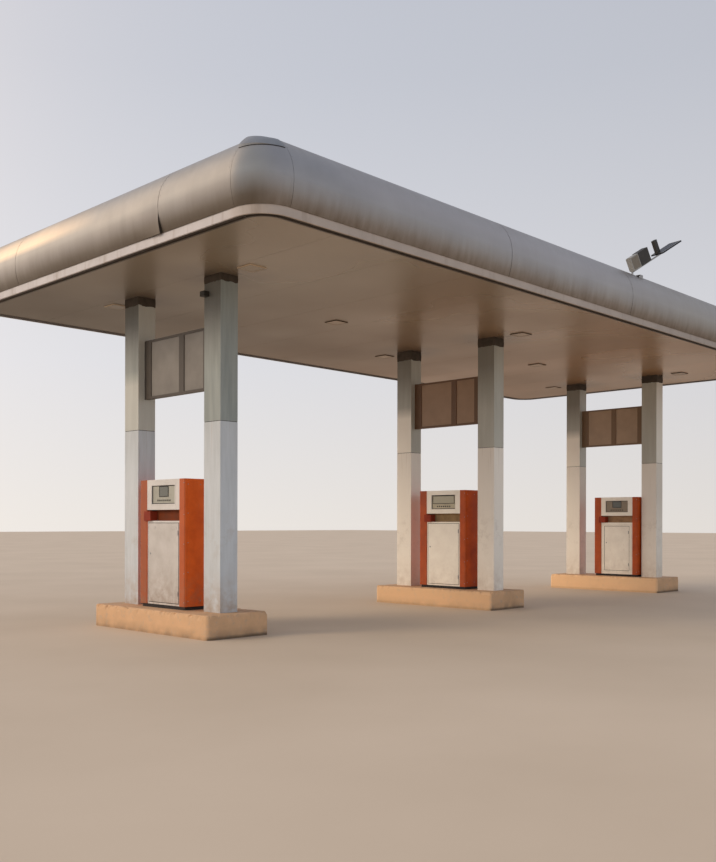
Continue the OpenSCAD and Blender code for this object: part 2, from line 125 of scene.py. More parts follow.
print("dome of", len(bands.elements), "bands, warmest towards", [round(c, 2) for c in WARM_SIDE])

# %% Floor and lamp
FLOOR_R = 150
floor_mesh = bpy.data.meshes.new("studio_floor")
floor_mesh.from_pydata([(x * FLOOR_R, y * FLOOR_R, 0) for x, y in ((-1, -1), (1, -1), (1, 1), (-1, 1))],
                       [], [(0, 1, 2, 3)])
studio_floor = link_mesh("studio_floor", floor_mesh)

for name, energy, angle, colour, from_side in (
        ("warm_key", 1.45, 22, (1.0, 0.80, 0.57), (-0.82, 0.38, 0.42)),
        ("cool_fill", 0.32, 50, (0.84, 0.93, 1.0), (0.25, -0.85, 0.30))):
    lamp = bpy.data.lights.new(name, "SUN")
    lamp.energy, lamp.angle, lamp.color = energy, math.radians(angle), colour
    holder = bpy.data.objects.new(name, lamp)
    holder.visible_glossy = False
    holder.rotation_euler = Vector(from_side).to_track_quat("Z", "Y").to_euler()
    scene.collection.objects.link(holder)
    print(name, "- a sun of strength", energy, "and", angle, "degrees across")

# %% [markdown]
# ## A kit for finishes
# Every finish here is made of nodes: a base colour that wanders a little, dust or grime that
# gathers where it would, a roughness that follows the dirt, and a fine bump. The helpers below
# lay out that common part, so each finish only says what is special about it. Everything is
# placed by the object's own coordinates in metres, so a grain of 5 mm is 5 mm on every piece.

# %% Finish kit
class Finish:
    def __init__(self, name, rough=0.5, metal=0.0, coat=0.0, ior=1.5):
        self.mat = bpy.data.materials.new(name)
        self.mat.use_nodes = True
        self.t = self.mat.node_tree
        self.p = self.t.nodes["Principled BSDF"]
        for socket, value in (("Roughness", rough), ("Metallic", metal), ("Coat Weight", coat), ("IOR", ior)):
            self.p.inputs[socket].default_value = value
        self.where = self.t.nodes.new("ShaderNodeTexCoord").outputs["Object"]
        parts = self.node("ShaderNodeSeparateXYZ", {"Vector": self.where}).outputs
        self.x, self.y, self.z = parts["X"], parts["Y"], parts["Z"]

    def put(self, socket, value):
        if isinstance(value, bpy.types.NodeSocket):
            self.t.links.new(value, socket)
        else:
            socket.default_value = value

    def node(self, kind, values=None, **props):
        n = self.t.nodes.new(kind)
        for k, v in props.items():
            setattr(n, k, v)
        for k, v in (values or {}).items():
            self.put(n.inputs[k], v)
        return n

    def noise(self, scale, detail=3.0, rough=0.5, stretch=None):
        """Cloudy noise from 0 to 1, scale cells to a metre; a low stretch draws it out along an axis."""
        at = self.where
        if stretch:
            at = self.node("ShaderNodeMapping", {"Vector": at, "Scale": stretch}).outputs[0]
        return self.node("ShaderNodeTexNoise", {"Vector": at, "Scale": scale, "Detail": detail,
                                                "Roughness": rough}).outputs["Fac"]

    def ramp(self, fac, a, b, va=0.0, vb=1.0):
        """Carries the range a to b over to the range va to vb, and stays level beyond both ends."""
        return self.node("ShaderNodeMapRange", {"Value": fac, "From Min": a, "From Max": b,
                                                "To Min": va, "To Max": vb}).outputs[0]

    def math(self, op, a, b=0.0):
        n = self.node("ShaderNodeMath", operation=op)
        self.put(n.inputs[0], a)
        self.put(n.inputs[1], b)
        return n.outputs[0]

    def times(self, a, b):
        return self.math("MULTIPLY", a, b)

    def facing(self, axis):
        """1 where the surface faces down the axis, to the left for X and to the front for Y."""
        normal = self.node("ShaderNodeNewGeometry").outputs["Normal"]
        return self.ramp(self.node("ShaderNodeSeparateXYZ", {"Vector": normal}).outputs[axis], -0.4, -0.6)

    def mix(self, fac, a, b):
        """Colour a where fac is 0, and colour b where it is 1."""
        n = self.node("ShaderNodeMix", data_type="RGBA")
        self.put(n.inputs[0], fac)
        for i, c in ((6, a), (7, b)):
            self.put(n.inputs[i], c if isinstance(c, bpy.types.NodeSocket) else (*c, 1))
        return n.outputs[2]

    def per_step(self, value, length, offset=0.0):
        """A number from 0 to 1 that is the same along each length and differs from one to the next."""
        step = self.math("FLOOR", self.math("DIVIDE", self.math("ADD", value, offset), length))
        return self.node("ShaderNodeTexWhiteNoise", {"W": step}, noise_dimensions="1D").outputs["Value"]

    def bump(self, *layers):
        """Relief in layers, each a height with its strength and its depth in metres."""
        normal = None
        for fac, strength, distance in layers:
            n = self.node("ShaderNodeBump", {"Height": fac, "Strength": strength, "Distance": distance})
            if normal:
                self.t.links.new(normal, n.inputs["Normal"])
            normal = n.outputs[0]
        self.t.links.new(normal, self.p.inputs["Normal"])

    def done(self, colour, rough=None):
        self.put(self.p.inputs["Base Color"], colour)
        if rough is not None:
            self.put(self.p.inputs["Roughness"], rough)
        return self.mat

def dress(mat, *names):
    for name in names:
        obj = nodes[name]
        obj.data.materials.clear()
        obj.data.materials.append(mat)
    print(mat.name, "on", ", ".join(names))
    return mat

def two_tone(name, tones, cloud, grain, relief, spread=None, **shader):
    """A finish that wanders between two tones in a cloudy noise, over a fine grain."""
    f = Finish(name, **shader)
    f.bump((f.noise(*grain), *relief))
    fac = f.noise(*cloud)
    return f.done(f.mix(f.ramp(fac, *spread) if spread else fac, *tones))

# %% [markdown]
# ## The floor finish
# Pale, slightly warm concrete without joints. A little cloudiness and a fine grain keep it from
# looking like paper.

# %% Floor finish
floor_mesh.materials.append(two_tone("floor_pale", ((0.62, 0.51, 0.39), (0.68, 0.565, 0.44)), (0.35, 4),
                                     (30, 2), (0.15, 0.004), (0.3, 0.7), rough=0.85))
print("floor_pale on", studio_floor.name)

# %% [markdown]
# ## Fascia
# The bullnose is silver composite sheet: glossy enough to mirror the sky in its upper half and
# the ground in its lower half, and never quite flat. Each sheet came from another coil, so its
# tone is a little different. Dust lies on the upper curve. The lower curve is darker in faint
# streaks, partly grime and partly a painted reflection of the shaded ground. The left side is
# painted yellower towards its top, a painted warm light, its foot carries more of that painted
# reflection, and the far end of its upper curve carries a painted warm highlight. The upper curve
# of the front is a little paler, and the right half has turned a touch browner. The long soft
# waves come from a low, wide bump: the outline itself is true.

# %% Fascia finish
LONG_SHEET, SIDE_SHEET, JOINT_SHIFT = 3.5, 3.7, 0.265
f = Finish("fascia_silver", rough=0.32, metal=0.85)
streak = f.noise(1.0, 5, 0.6, stretch=(9, 9, 0.7))
cloud = f.noise(1.3, 4, 0.55)
shift = f.ramp(f.y, -0.1, 0.1, -JOINT_SHIFT, JOINT_SHIFT)
along = f.math("ADD", f.ramp(f.x, -6.7, 6.7, -6.7, 6.7), shift)
sheet = f.math("ADD", f.per_step(along, LONG_SHEET, 10 * LONG_SHEET),
               f.per_step(f.y, SIDE_SHEET, 10.5 * SIDE_SHEET))
# The lower curve is darker in faint streaks: partly grime, partly a painted reflection of the shaded ground.
grime_and_shade = f.times(f.ramp(f.z, 5.46, 5.12), f.ramp(streak, 0.25, 0.7, 0.6, 1.0))
left = f.ramp(f.x, -7.60, -7.80)
# The foot of the left side is painted darker, a painted reflection of the shaded ground.
left_foot_shade = f.times(left, f.ramp(f.z, 5.50, 5.20, 0.0, 0.75))
dust = f.times(f.ramp(f.z, 5.66, 5.90), f.ramp(cloud, 0.3, 0.65, 0.3, 1.0))
base = f.mix(f.ramp(cloud, 0.35, 0.65), (0.40, 0.385, 0.385), (0.47, 0.455, 0.45))
base = f.mix(f.ramp(sheet, 0.3, 1.7, 0.0, 0.28), base, (0.33, 0.33, 0.335))
upper_front = f.times(f.ramp(f.y, -3.4, -3.7), f.ramp(f.z, 5.40, 5.60))
base = f.mix(f.times(upper_front, f.ramp(f.x, -7.0, -6.0, 0.0, 0.5)), base, (0.55, 0.505, 0.49))
right = f.ramp(f.x, -1.0, 2.5)
base = f.mix(f.times(right, 0.55), base, (0.37, 0.335, 0.28))
base = f.mix(grime_and_shade, base, f.mix(right, (0.20, 0.165, 0.135), (0.145, 0.11, 0.085)))
base = f.mix(left_foot_shade, base, (0.13, 0.105, 0.085))
# The left side is painted yellower towards its top, a painted warm light.
base = f.mix(f.times(left, f.ramp(f.z, 5.30, 5.50, 0.02, 0.11)), base, (0.44, 0.39, 0.09))
# A painted warm highlight on the far end of the left side's upper curve.
glint = f.times(f.times(left, f.ramp(f.y, -0.4, 1.2)), f.ramp(f.z, 5.50, 5.60))
base = f.mix(glint, base, (0.94, 0.77, 0.56))
base = f.mix(f.times(dust, 0.45), base, (0.34, 0.30, 0.26))
rough = f.math("ADD", f.ramp(streak, 0.2, 0.8, 0.26, 0.40), f.times(dust, 0.16))
f.bump((f.noise(0.55, 2, 0.4), 0.5, 0.10), (f.noise(3.5, 2), 0.10, 0.02), (f.noise(240, 2), 0.02, 0.0006))
fascia_silver = dress(f.done(base, rough), "front_fascia", "back_fascia", "left_fascia", "right_fascia",
                      "corner_fascias")

# %% [markdown]
# ## Lip trim and dark steel
# The lip is a pale folded strip, a little chalky, with brown drip marks under the joints of the
# fascia. It has a whiter copy on the left side, a painted light, a darker, duller beige copy along
# the front, a painted shade, and is darkest over the right half. Behind it the brown edge beam
# shows as a dark line, because the slot keeps the light out.

# %% Lip and dark steel finishes
f = Finish("lip_beige", rough=0.42)
drip = f.ramp(f.noise(1.0, 5, 0.65, stretch=(5, 5, 0.8)), 0.52, 0.72, 0.0, 0.55)
spots = f.ramp(f.noise(2.2, 5, 0.6), 0.35, 0.7)
# The whiter copy on the left side is a painted light, the darker beige copy along the front a painted shade.
base = f.mix(f.ramp(f.y, -3.0, -3.5), f.mix(spots, (0.59, 0.565, 0.575), (0.49, 0.465, 0.47)),
             f.mix(spots, (0.475, 0.405, 0.352), (0.405, 0.345, 0.30)))
base = f.mix(f.ramp(f.x, -1.0, 2.5, 0.0, 0.4), base, (0.28, 0.23, 0.19))
f.bump((f.noise(40, 2), 0.05, 0.002))
dress(f.done(f.mix(drip, base, (0.27, 0.21, 0.165))), "lip_trim")
# The dispenser bases are dark steel, and their near black also stands for the shade of the gap under the
# cabinets, a painted shade.
dark_steel = dress(two_tone("dark_steel", ((0.012, 0.011, 0.012), (0.03, 0.026, 0.024)), (6, 4), (60, 3),
                            (0.2, 0.002), rough=0.6), "column_posts", "casing_frames", "dispenser_bases")
edge_brown = dress(two_tone("edge_brown", ((0.040, 0.032, 0.026), (0.070, 0.056, 0.046)), (6, 4), (60, 3),
                            (0.2, 0.002), rough=0.6), "edge_beam")

# %% [markdown]
# ## Soffit
# The ceiling is semi gloss pale sheet that has gone taupe with dust and mirrors the columns
# softly. Low roughness with a broad, weak bump gives that blurred reflection. Each sheet is a
# little lighter or darker than the next, the ceiling is darker around the column heads, partly
# soot and partly painted shade where they meet it, and the colour turns from a grey taupe at one
# end to a browner one at the other. Towards the back it is painted darker, a painted shade, and
# dust has dulled it, most of all at the left end.

# %% Soffit finish
HALF_L, SOFFIT_SHEET, COLUMN_STEP, COLUMN_OFF = 7.845, 1.3075, 6.3, 1.01
f = Finish("soffit_taupe", rough=0.3)
cloud = f.noise(0.45, 2, 0.4)
tone = f.per_step(f.x, SOFFIT_SHEET, HALF_L + 10 * SOFFIT_SHEET)
browner = f.ramp(f.x, -5.5, 2.5)
base = f.mix(f.ramp(cloud, 0.3, 0.7), f.mix(browner, (0.30, 0.245, 0.175), (0.41, 0.238, 0.122)),
             f.mix(browner, (0.24, 0.192, 0.137), (0.33, 0.188, 0.096)))
base = f.mix(f.ramp(tone, 0, 1, 0.0, 0.22), base, (0.25, 0.175, 0.11))
# Painted shade darkens the back of the ceiling, most at the left end, and dust dulls it there.
dust_and_back_shade = f.times(f.ramp(f.y, -1.2, 1.9), f.ramp(f.x, -5.0, 3.0, 1.0, 0.4))
base = f.mix(f.times(dust_and_back_shade, 0.55), base, (0.09, 0.09, 0.092))
far = f.math("PINGPONG", f.math("ADD", f.x, 11 * COLUMN_STEP), COLUMN_STEP / 2)
off = f.math("ABSOLUTE", f.math("SUBTRACT", f.math("ABSOLUTE", f.y), COLUMN_OFF))
reach = f.math("SQRT", f.math("ADD", f.times(far, far), f.times(off, off)))
# Darker around the column heads: partly soot, partly painted shade where the heads meet the ceiling.
head_soot_and_shade = f.times(f.ramp(reach, 0.85, 0.15), f.ramp(f.noise(2.6, 4), 0.25, 0.65, 0.35, 0.8))
base = f.mix(head_soot_and_shade, base, (0.115, 0.088, 0.07))
f.bump((f.noise(0.55, 1, 0.3), 0.10, 0.02), (f.noise(60, 2), 0.02, 0.0006))
rough = f.math("ADD", f.ramp(cloud, 0.2, 0.8, 0.20, 0.36), f.times(dust_and_back_shade, 0.17))
soffit_taupe = dress(f.done(base, rough), "soffit_panels")
dress(two_tone("soffit_trim_brown", ((0.07, 0.055, 0.045), (0.11, 0.088, 0.072)), (3, 3), (50, 2),
               (0.05, 0.001), rough=0.5), "soffit_trim")

# %% [markdown]
# ## Column casings
# White sheet below the joint, a greyer sheet above it, and both painted paler away from the left
# pair, a painted sunlight, while the left faces of the left pair carry a painted shadow above two
# metres. The grey sheets of the back row are painted paler below the foot of the boards, a
# painted sunlight below the canopy's shadow line, and the left faces of the grey sheets are
# painted darker towards the heads, a painted shade. Two front faces of grey sheet, on the last
# front column and the first back one, are painted paler than the rest, a painted light, and the
# white front faces of the right pair are darker, partly grime and partly painted shade. Dust and
# splashes climb the lowest half metre, and the sheet is rubbed darker at hand height. Thin runs of
# rust brown start at the rivets of the joint.

# %% Casing finishes
HAND_Z = 1.35

def casing(name, light, dark, low, painted_sun_share, painted_sun, painted_sun_below=0.0):
    f = Finish(name, rough=0.35)
    streak = f.noise(1.5, 5, 0.6, stretch=(8, 8, 0.8))
    base = f.mix(f.ramp(streak, 0.35, 0.7), light, dark)
    # A painted sunlight: the casings turn paler away from the left pair.
    base = f.mix(f.ramp(f.x, -5.0, -1.0, 0.0, painted_sun_share), base, painted_sun)
    on_left, on_front = f.facing("X"), f.facing("Y")
    # A painted shadow on the left faces of the left pair above two metres.
    left_shadow = f.times(f.times(on_left, f.ramp(f.x, -4.5, -5.5)), f.ramp(f.z, 2.1, 2.9, 0.0, 0.17))
    base = f.mix(left_shadow, base, (0.10, 0.10, 0.095))
    if painted_sun_below:
        # A painted sunlight on the left faces of the back row below the canopy's shadow line.
        back = f.times(on_left, f.times(f.ramp(f.y, 0.2, 0.5), f.ramp(f.z, 3.88, 3.66)))
        base = f.mix(f.times(back, f.ramp(f.x, -5.0, -1.0, painted_sun_below * 0.3, painted_sun_below)), base, (0.97, 0.93, 0.84))
        # A painted light on two front faces of grey sheet.
        paler_mask = f.math("ADD", f.times(f.ramp(f.x, 4.5, 5.5, 0.0, 0.62), f.ramp(f.y, 0.0, -0.3)),
                       f.times(f.ramp(f.x, -4.5, -5.5, 0.0, 0.40), f.ramp(f.y, 0.0, 0.3)))
        base = f.mix(f.times(on_front, paler_mask), base, (0.90, 0.85, 0.75))
        # A painted shade: the left faces darken towards the heads.
        head_shade = f.math("SUBTRACT", 1.0, f.times(f.ramp(f.x, 4.5, 5.5), f.ramp(f.y, 0.0, -0.3)))
        head_shade = f.times(f.times(on_left, head_shade), f.ramp(f.z, 3.66, 4.5, 0.0, 0.62))
        base = f.mix(head_shade, base, (0.10, 0.085, 0.065))
    else:
        # The white fronts of the right pair darken upwards, partly grime and partly painted shade.
        grime_and_shade = f.times(f.ramp(f.x, 4.5, 5.5), f.ramp(f.z, 1.4, 2.2, 0.18, 0.42))
        base = f.mix(f.times(on_front, grime_and_shade), base, (0.36, 0.30, 0.22))
    runs = f.times(f.ramp(f.noise(1.0, 3, 0.5, stretch=(34, 34, 0.9)), 0.60, 0.74),
                   f.times(f.ramp(f.z, 2.2, 2.95), f.ramp(f.z, 2.99, 2.96)))
    base = f.mix(f.times(runs, 0.35), base, (0.30, 0.19, 0.11))
    at_hand = f.ramp(f.math("ABSOLUTE", f.math("SUBTRACT", f.z, HAND_Z)), 0.55, 0.1)
    rub = f.times(at_hand, f.ramp(f.noise(5, 5, 0.7), 0.5, 0.75))
    base = f.mix(f.times(rub, 0.4), base, (0.38, 0.33, 0.28))
    splash = f.times(f.ramp(f.z, 0.95, 0.33), f.ramp(f.noise(7, 5, 0.65), 0.3, 0.65))
    base = f.mix(f.times(splash, f.ramp(f.x, -4.0, -2.0, low, low * 0.5)), base, (0.36, 0.25, 0.16))
    f.bump((f.noise(1.2, 2, 0.4), 0.14, 0.02), (f.noise(80, 2), 0.03, 0.001))
    return f.done(base, f.ramp(streak, 0.2, 0.8, 0.26, 0.42))

casing_white = dress(casing("casing_white", (0.60, 0.65, 0.70), (0.51, 0.56, 0.60), 0.75, 0.85,
                            (0.94, 0.89, 0.80)), "front_lower_casings", "back_lower_casings")
casing_grey = dress(casing("casing_grey", (0.34, 0.38, 0.37), (0.26, 0.297, 0.29), 0.0, 0.26,
                           (0.94, 0.86, 0.70), 0.95), "front_upper_casings", "back_upper_casings")

# %% [markdown]
# ## Sign boards
# Two plain panels in a dark brown frame between each pair of columns. They are bare. The first
# board is greyer, the other two are browner and the last is the palest, so the colour shifts
# along the canopy.

# %% Board finishes
f = Finish("board_panel_taupe", rough=0.42)
browner = f.ramp(f.x, -5.0, -1.5)
cloud = f.ramp(f.noise(2.5, 5, 0.6), 0.3, 0.7)
base = f.mix(browner, f.mix(cloud, (0.225, 0.21, 0.19), (0.17, 0.155, 0.14)),
             f.mix(cloud, (0.375, 0.24, 0.15), (0.30, 0.19, 0.115)))
base = f.mix(f.ramp(f.x, 2.0, 4.0), base, f.mix(cloud, (0.44, 0.315, 0.215), (0.35, 0.25, 0.17)))
f.bump((f.noise(1.5, 2), 0.15, 0.01), (f.noise(60, 2), 0.04, 0.001))
dress(f.done(base), "board_panels")
f = Finish("board_frame_brown", rough=0.5)
browner = f.ramp(f.x, -5.0, -1.5)
f.bump((f.noise(50, 2), 0.06, 0.001))
base = f.mix(browner, f.mix(f.noise(5), (0.062, 0.052, 0.043), (0.088, 0.074, 0.062)),
             f.mix(f.noise(5), (0.125, 0.065, 0.030), (0.165, 0.085, 0.044)))
base = f.mix(f.ramp(f.x, 2.0, 4.0), base, (0.20, 0.125, 0.07))
board_brown = dress(f.done(base), "board_frames")

# %% [markdown]
# ## Dispensers
# Orange enamel pillars, cream white fronts, a dark recess under the head, and a grey green face
# plate behind its window. Years of light have bleached the enamel unevenly, so a slow noise moves
# between a fresh and a faded colour. The first dispenser has a brighter orange, a painted light,
# with a greyer white, and has the most dirt along the foot of its sheets. Its narrow left faces
# are painted darker, a painted shade, the back one most of all, and those of the others half as
# much.

# %% Dispenser finishes
def enamel(name, light, dark, dirt, rough, first=None, left_shade=0.0, ior=1.5):
    f = Finish(name, rough=rough, coat=0.04, ior=ior)
    base = f.mix(f.ramp(f.noise(4, 5, 0.6), 0.35, 0.7), light, dark)
    if first:
        base = f.mix(f.ramp(f.x, -2.9, -3.1), base, f.mix(f.ramp(f.noise(4, 5, 0.6), 0.35, 0.7), *first))
    # A painted shade on the left faces.
    left_face_shade = f.times(f.ramp(f.x, -2.9, -3.1, 0.5, 1.0), f.ramp(f.y, -0.4, 0.4, left_shade, left_shade * 1.35))
    base = f.mix(f.times(f.facing("X"), left_face_shade), base, (0.20, 0.085, 0.05))
    low = f.times(f.ramp(f.z, 0.95, 0.36), f.ramp(f.noise(9, 5, 0.65), 0.35, 0.65))
    low = f.times(low, f.ramp(f.x, -4.0, -2.0, dirt, dirt * 0.35))
    base = f.mix(low, base, (0.26, 0.17, 0.11))
    scuff = f.ramp(f.noise(2.0, 6, 0.75, stretch=(6, 6, 1.2)), 0.62, 0.70, 0.0, 0.30)
    base = f.mix(scuff, base, (0.34, 0.22, 0.15))
    f.bump((f.noise(3, 2), 0.08, 0.006), (f.noise(120, 2), 0.03, 0.0005))
    return f.done(base)

# The brighter orange of the first dispenser is a painted light.
orange = dress(enamel("dispenser_orange", (0.62, 0.092, 0.005), (0.42, 0.055, 0.004), 0.5, 0.5,
                      ((0.92, 0.165, 0.018), (0.74, 0.115, 0.010)), 0.55, 1.35), "dispenser_pillars")
cream = dress(enamel("dispenser_white", (0.95, 0.92, 0.84), (0.88, 0.84, 0.76), 0.55, 0.38,
                     ((0.69, 0.67, 0.655), (0.60, 0.58, 0.56))), "dispenser_cabinets", "dispenser_heads")
door_cream = enamel("dispenser_door", (0.93, 0.90, 0.82), (0.84, 0.80, 0.73), 0.7, 0.42,
                    ((0.60, 0.575, 0.555), (0.50, 0.475, 0.45)))

f = Finish("dispenser_recess", rough=0.6, ior=1.2)
middle, last = f.ramp(f.x, -4.0, -2.0), f.ramp(f.x, 2.0, 4.0)
base = f.mix(middle, (0.19, 0.045, 0.016), (0.33, 0.225, 0.12))
base = f.mix(last, base, (0.36, 0.225, 0.13))
f.bump((f.noise(90, 2), 0.05, 0.001))
base = f.mix(f.ramp(f.noise(7, 4), 0.4, 0.8, 0.0, 0.5), base, (0.06, 0.04, 0.03))
dress(f.done(base), "dispenser_recesses")
dress(enamel("boot_red", (0.30, 0.040, 0.014), (0.21, 0.028, 0.012), 0.0, 0.5, ior=1.25),
      "nozzle_boots")

# %% Screen finishes
f = Finish("screen_plate", rough=0.35)
f.bump((f.noise(70, 2), 0.04, 0.001))
plate = f.mix(f.ramp(f.x, -4.0, -2.0), (0.40, 0.40, 0.345), (0.54, 0.50, 0.37))
plate = f.mix(f.ramp(f.x, 2.0, 4.0), plate, (0.27, 0.225, 0.165))
base = f.mix(f.ramp(f.noise(6, 4), 0.4, 0.8, 0.0, 0.4), plate, (0.19, 0.16, 0.12))
dress(f.done(base), "dispenser_screens")
f = Finish("display_glass", rough=0.10, coat=0.5)
f.bump((f.noise(9, 2), 0.03, 0.001))
paler_mask = f.times(f.ramp(f.x, -4.0, -2.0), f.ramp(f.x, 4.0, 2.0))
glass = f.mix(f.noise(3), (0.055, 0.062, 0.05), (0.085, 0.09, 0.072))
dress(f.done(f.mix(f.times(paler_mask, 0.8), glass, (0.46, 0.43, 0.31))), "dispenser_displays")

# %% [markdown]
# ## Roof and hidden steel
# Seen only from above: zinc coated ribbed sheets, a gutter and a parapet liner that have dulled
# and stained, galvanised purlins and grey primed girders. The crystals of the zinc are a Voronoi
# pattern about 15 mm across.

# %% Roof finishes
f = Finish("roof_sheet_zinc", rough=0.45, metal=0.55)
spangle = f.node("ShaderNodeTexVoronoi", {"Vector": f.where, "Scale": 60.0}).outputs["Distance"]
stain = f.noise(1.1, 5, 0.65)
wash = f.noise(1.0, 4, 0.6, stretch=(6, 0.6, 1))
base = f.mix(f.ramp(spangle, 0.0, 0.9), (0.40, 0.41, 0.42), (0.48, 0.49, 0.50))
base = f.mix(f.ramp(wash, 0.45, 0.75, 0.0, 0.5), base, (0.33, 0.29, 0.25))
base = f.mix(f.ramp(stain, 0.5, 0.75, 0.0, 0.6), base, (0.27, 0.21, 0.16))
f.bump((f.noise(70, 2), 0.04, 0.001))
dress(f.done(base, f.ramp(stain, 0.2, 0.8, 0.38, 0.6)), "roof_sheets", "roof_gutter", "parapet_liner")
zinc_steel = dress(two_tone("galvanised_steel", ((0.42, 0.42, 0.42), (0.32, 0.32, 0.32)), (8, 3), (60, 2),
                            (0.05, 0.001), rough=0.45, metal=0.7),
                   "roof_purlins", "soffit_rails", "flood_bracket")
dress(two_tone("primed_steel", ((0.13, 0.135, 0.14), (0.18, 0.185, 0.19)), (5, 3), (50, 2),
               (0.08, 0.001), rough=0.6), "cross_girders", "purlin_packers", "fascia_ribs")

# %% [markdown]
# ## Lights
# The flat square soffit lights are off and nearly the colour of the ceiling, and their sides are
# painted near black, a painted shade, so they read as faint brown dashes. The two at the left pair
# are in the ceiling's own colour, with their sides painted pale, a painted light. The floodlight
# on the roof edge is a grey cast box, a black housing and a dark solar panel on one arm.

# %% Light finishes
f = Finish("light_housing", rough=0.45)
f.bump((f.noise(70, 2), 0.06, 0.001))
edge = f.math("SUBTRACT", 1.0, f.facing("Z"))
rim = f.mix(f.noise(12), (0.29, 0.20, 0.125), (0.34, 0.235, 0.15))
# The sides of the lights are painted near black, a painted shade.
shaded_sides = f.mix(edge, rim, (0.045, 0.03, 0.02))
left_pair = f.mix(f.ramp(f.y, -0.5, 0.5), (0.27, 0.218, 0.156), (0.195, 0.163, 0.127))
# The sides of the left pair are painted pale, a painted light.
left_pair = f.mix(edge, left_pair, (0.75, 0.60, 0.44))
at_left = f.ramp(f.x, -4.6, -5.0)
dress(f.done(f.mix(at_left, shaded_sides, left_pair)), "soffit_lights")
f = Finish("lens_glass", rough=0.35)
f.bump((f.noise(90, 2), 0.1, 0.001))
lens = f.mix(f.noise(20), (0.34, 0.25, 0.17), (0.40, 0.30, 0.21))
left_pair = f.mix(f.ramp(f.y, -0.5, 0.5), (0.29, 0.235, 0.17), (0.205, 0.172, 0.135))
dress(f.done(f.mix(f.ramp(f.x, -4.6, -5.0), lens, left_pair)), "light_lenses")
lamp_grey = dress(two_tone("lamp_grey", ((0.40, 0.395, 0.37), (0.29, 0.285, 0.265)), (9, 3), (80, 2),
                           (0.12, 0.001), rough=0.45, metal=0.3), "flood_lamp")
flood_glass = two_tone("flood_glass", ((0.19, 0.165, 0.13), (0.25, 0.22, 0.175)), (15, 3), (40, 2),
                       (0.03, 0.001), rough=0.35, ior=1.3)
solar_glass = dress(two_tone("solar_glass", ((0.008, 0.010, 0.018), (0.015, 0.018, 0.028)), (15, 3), (40, 2),
                             (0.02, 0.001), rough=0.32, ior=1.25), "flood_panel")
lamp_black = dress(two_tone("lamp_black", ((0.022, 0.020, 0.017), (0.045, 0.041, 0.035)), (12, 3), (80, 2),
                            (0.06, 0.001), rough=0.55), "column_lamp", "flood_boxes")

# %% [markdown]
# ## Making small pieces
# Rivets, screws and folded plates are made of plain point lists and stamped many times into one
# mesh, which is quicker than one object for each and keeps them easy to place. A rivet or a screw
# is a low head of a few rings, and a plate is a box with eased edges, because no folded or
# moulded edge is truly sharp. Each kind becomes one piece that rides with the canopy.

# %% Stamps
class Heap:
    """Gathers many small closed solids into one mesh."""
    def __init__(self):
        self.verts, self.faces = [], []

    def add(self, verts, faces, matrix=None):
        n = len(self.verts)
        self.verts += [tuple(matrix @ Vector(v)) if matrix else tuple(v) for v in verts]
        self.faces += [tuple(n + i for i in f) for f in faces]

    def make(self, name, slot, finish, smooth=False):
        bm = bmesh.new()
        mesh = bpy.data.meshes.new(name)
        mesh.from_pydata(self.verts, [], self.faces)
        bm.from_mesh(mesh)
        bmesh.ops.recalc_face_normals(bm, faces=bm.faces)
        bm.to_mesh(mesh)
        bm.free()
        for p in mesh.polygons:
            p.use_smooth = smooth
        if smooth:
            mesh.set_sharp_from_angle(angle=math.radians(35))
        mesh.materials.append(finish)
        piece = link_mesh(name, mesh)
        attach(piece, "root")
        print(name, "-", sum(len(p.vertices) - 2 for p in mesh.polygons), "triangles")
        return piece

def shell(rows, n, closed=False):
    """Faces between rows of n points: rolled up to meet again, or with both ends capped."""
    faces = [(k * n + i, k * n + (i + 1) % n, (k + 1) % rows * n + (i + 1) % n, (k + 1) % rows * n + i)
             for k in range(rows if closed else rows - 1) for i in range(n)]
    caps = [tuple(range(n))[::-1], tuple(range((rows - 1) * n, rows * n))]
    return faces if closed else faces + caps

def rings(levels, sides):
    """A turned solid: levels are (radius, height) from its foot to its top, both ends closed."""
    verts = [(r * math.cos(math.tau * i / sides), r * math.sin(math.tau * i / sides), h)
             for r, h in levels for i in range(sides)]
    return verts, shell(len(levels), sides)

def plate(lo, hi, ease=0.002):
    """A box from lo to hi whose edges are eased by a small flat."""
    mid = [(a + b) / 2 for a, b in zip(lo, hi)]
    half = [abs(b - a) / 2 for a, b in zip(lo, hi)]
    ease = min(ease, min(half) * 0.8)
    verts, at = [], {}
    for c in itertools.product((-1, 1), repeat=3):
        for face in range(3):
            at[c, face] = len(verts)
            verts.append([mid[i] + c[i] * (half[i] - (0 if i == face else ease)) for i in range(3)])
    faces = [tuple(at[c, f] for f in range(3)) for c in itertools.product((-1, 1), repeat=3)]
    for k in range(3):
        i, j = (k + 1) % 3, (k + 2) % 3
        for s in (-1, 1):
            loop = []
            for a, b in ((-1, -1), (1, -1), (1, 1), (-1, 1)):
                c = [0, 0, 0]
                c[k], c[i], c[j] = s, a, b
                loop.append(at[tuple(c), k])
            faces.append(tuple(loop))
        for a, b in itertools.product((-1, 1), repeat=2):
            low, high = [0, 0, 0], [0, 0, 0]
            low[i] = high[i] = a
            low[j] = high[j] = b
            low[k], high[k] = -1, 1
            low, high = tuple(low), tuple(high)
            faces.append((at[low, i], at[high, i], at[high, j], at[low, j]))
    return verts, faces

def stand(point, normal):
    """Puts a stamp with its foot at point and its top along normal."""
    return Matrix.Translation(point) @ Vector(normal).to_track_quat("Z", "Y").to_matrix().to_4x4()

RIVET = rings([(0.006, -0.0006), (0.006, 0.0004), (0.0045, 0.0018), (0.002, 0.0024)], 10)
print("a rivet has", len(RIVET[0]), "points")

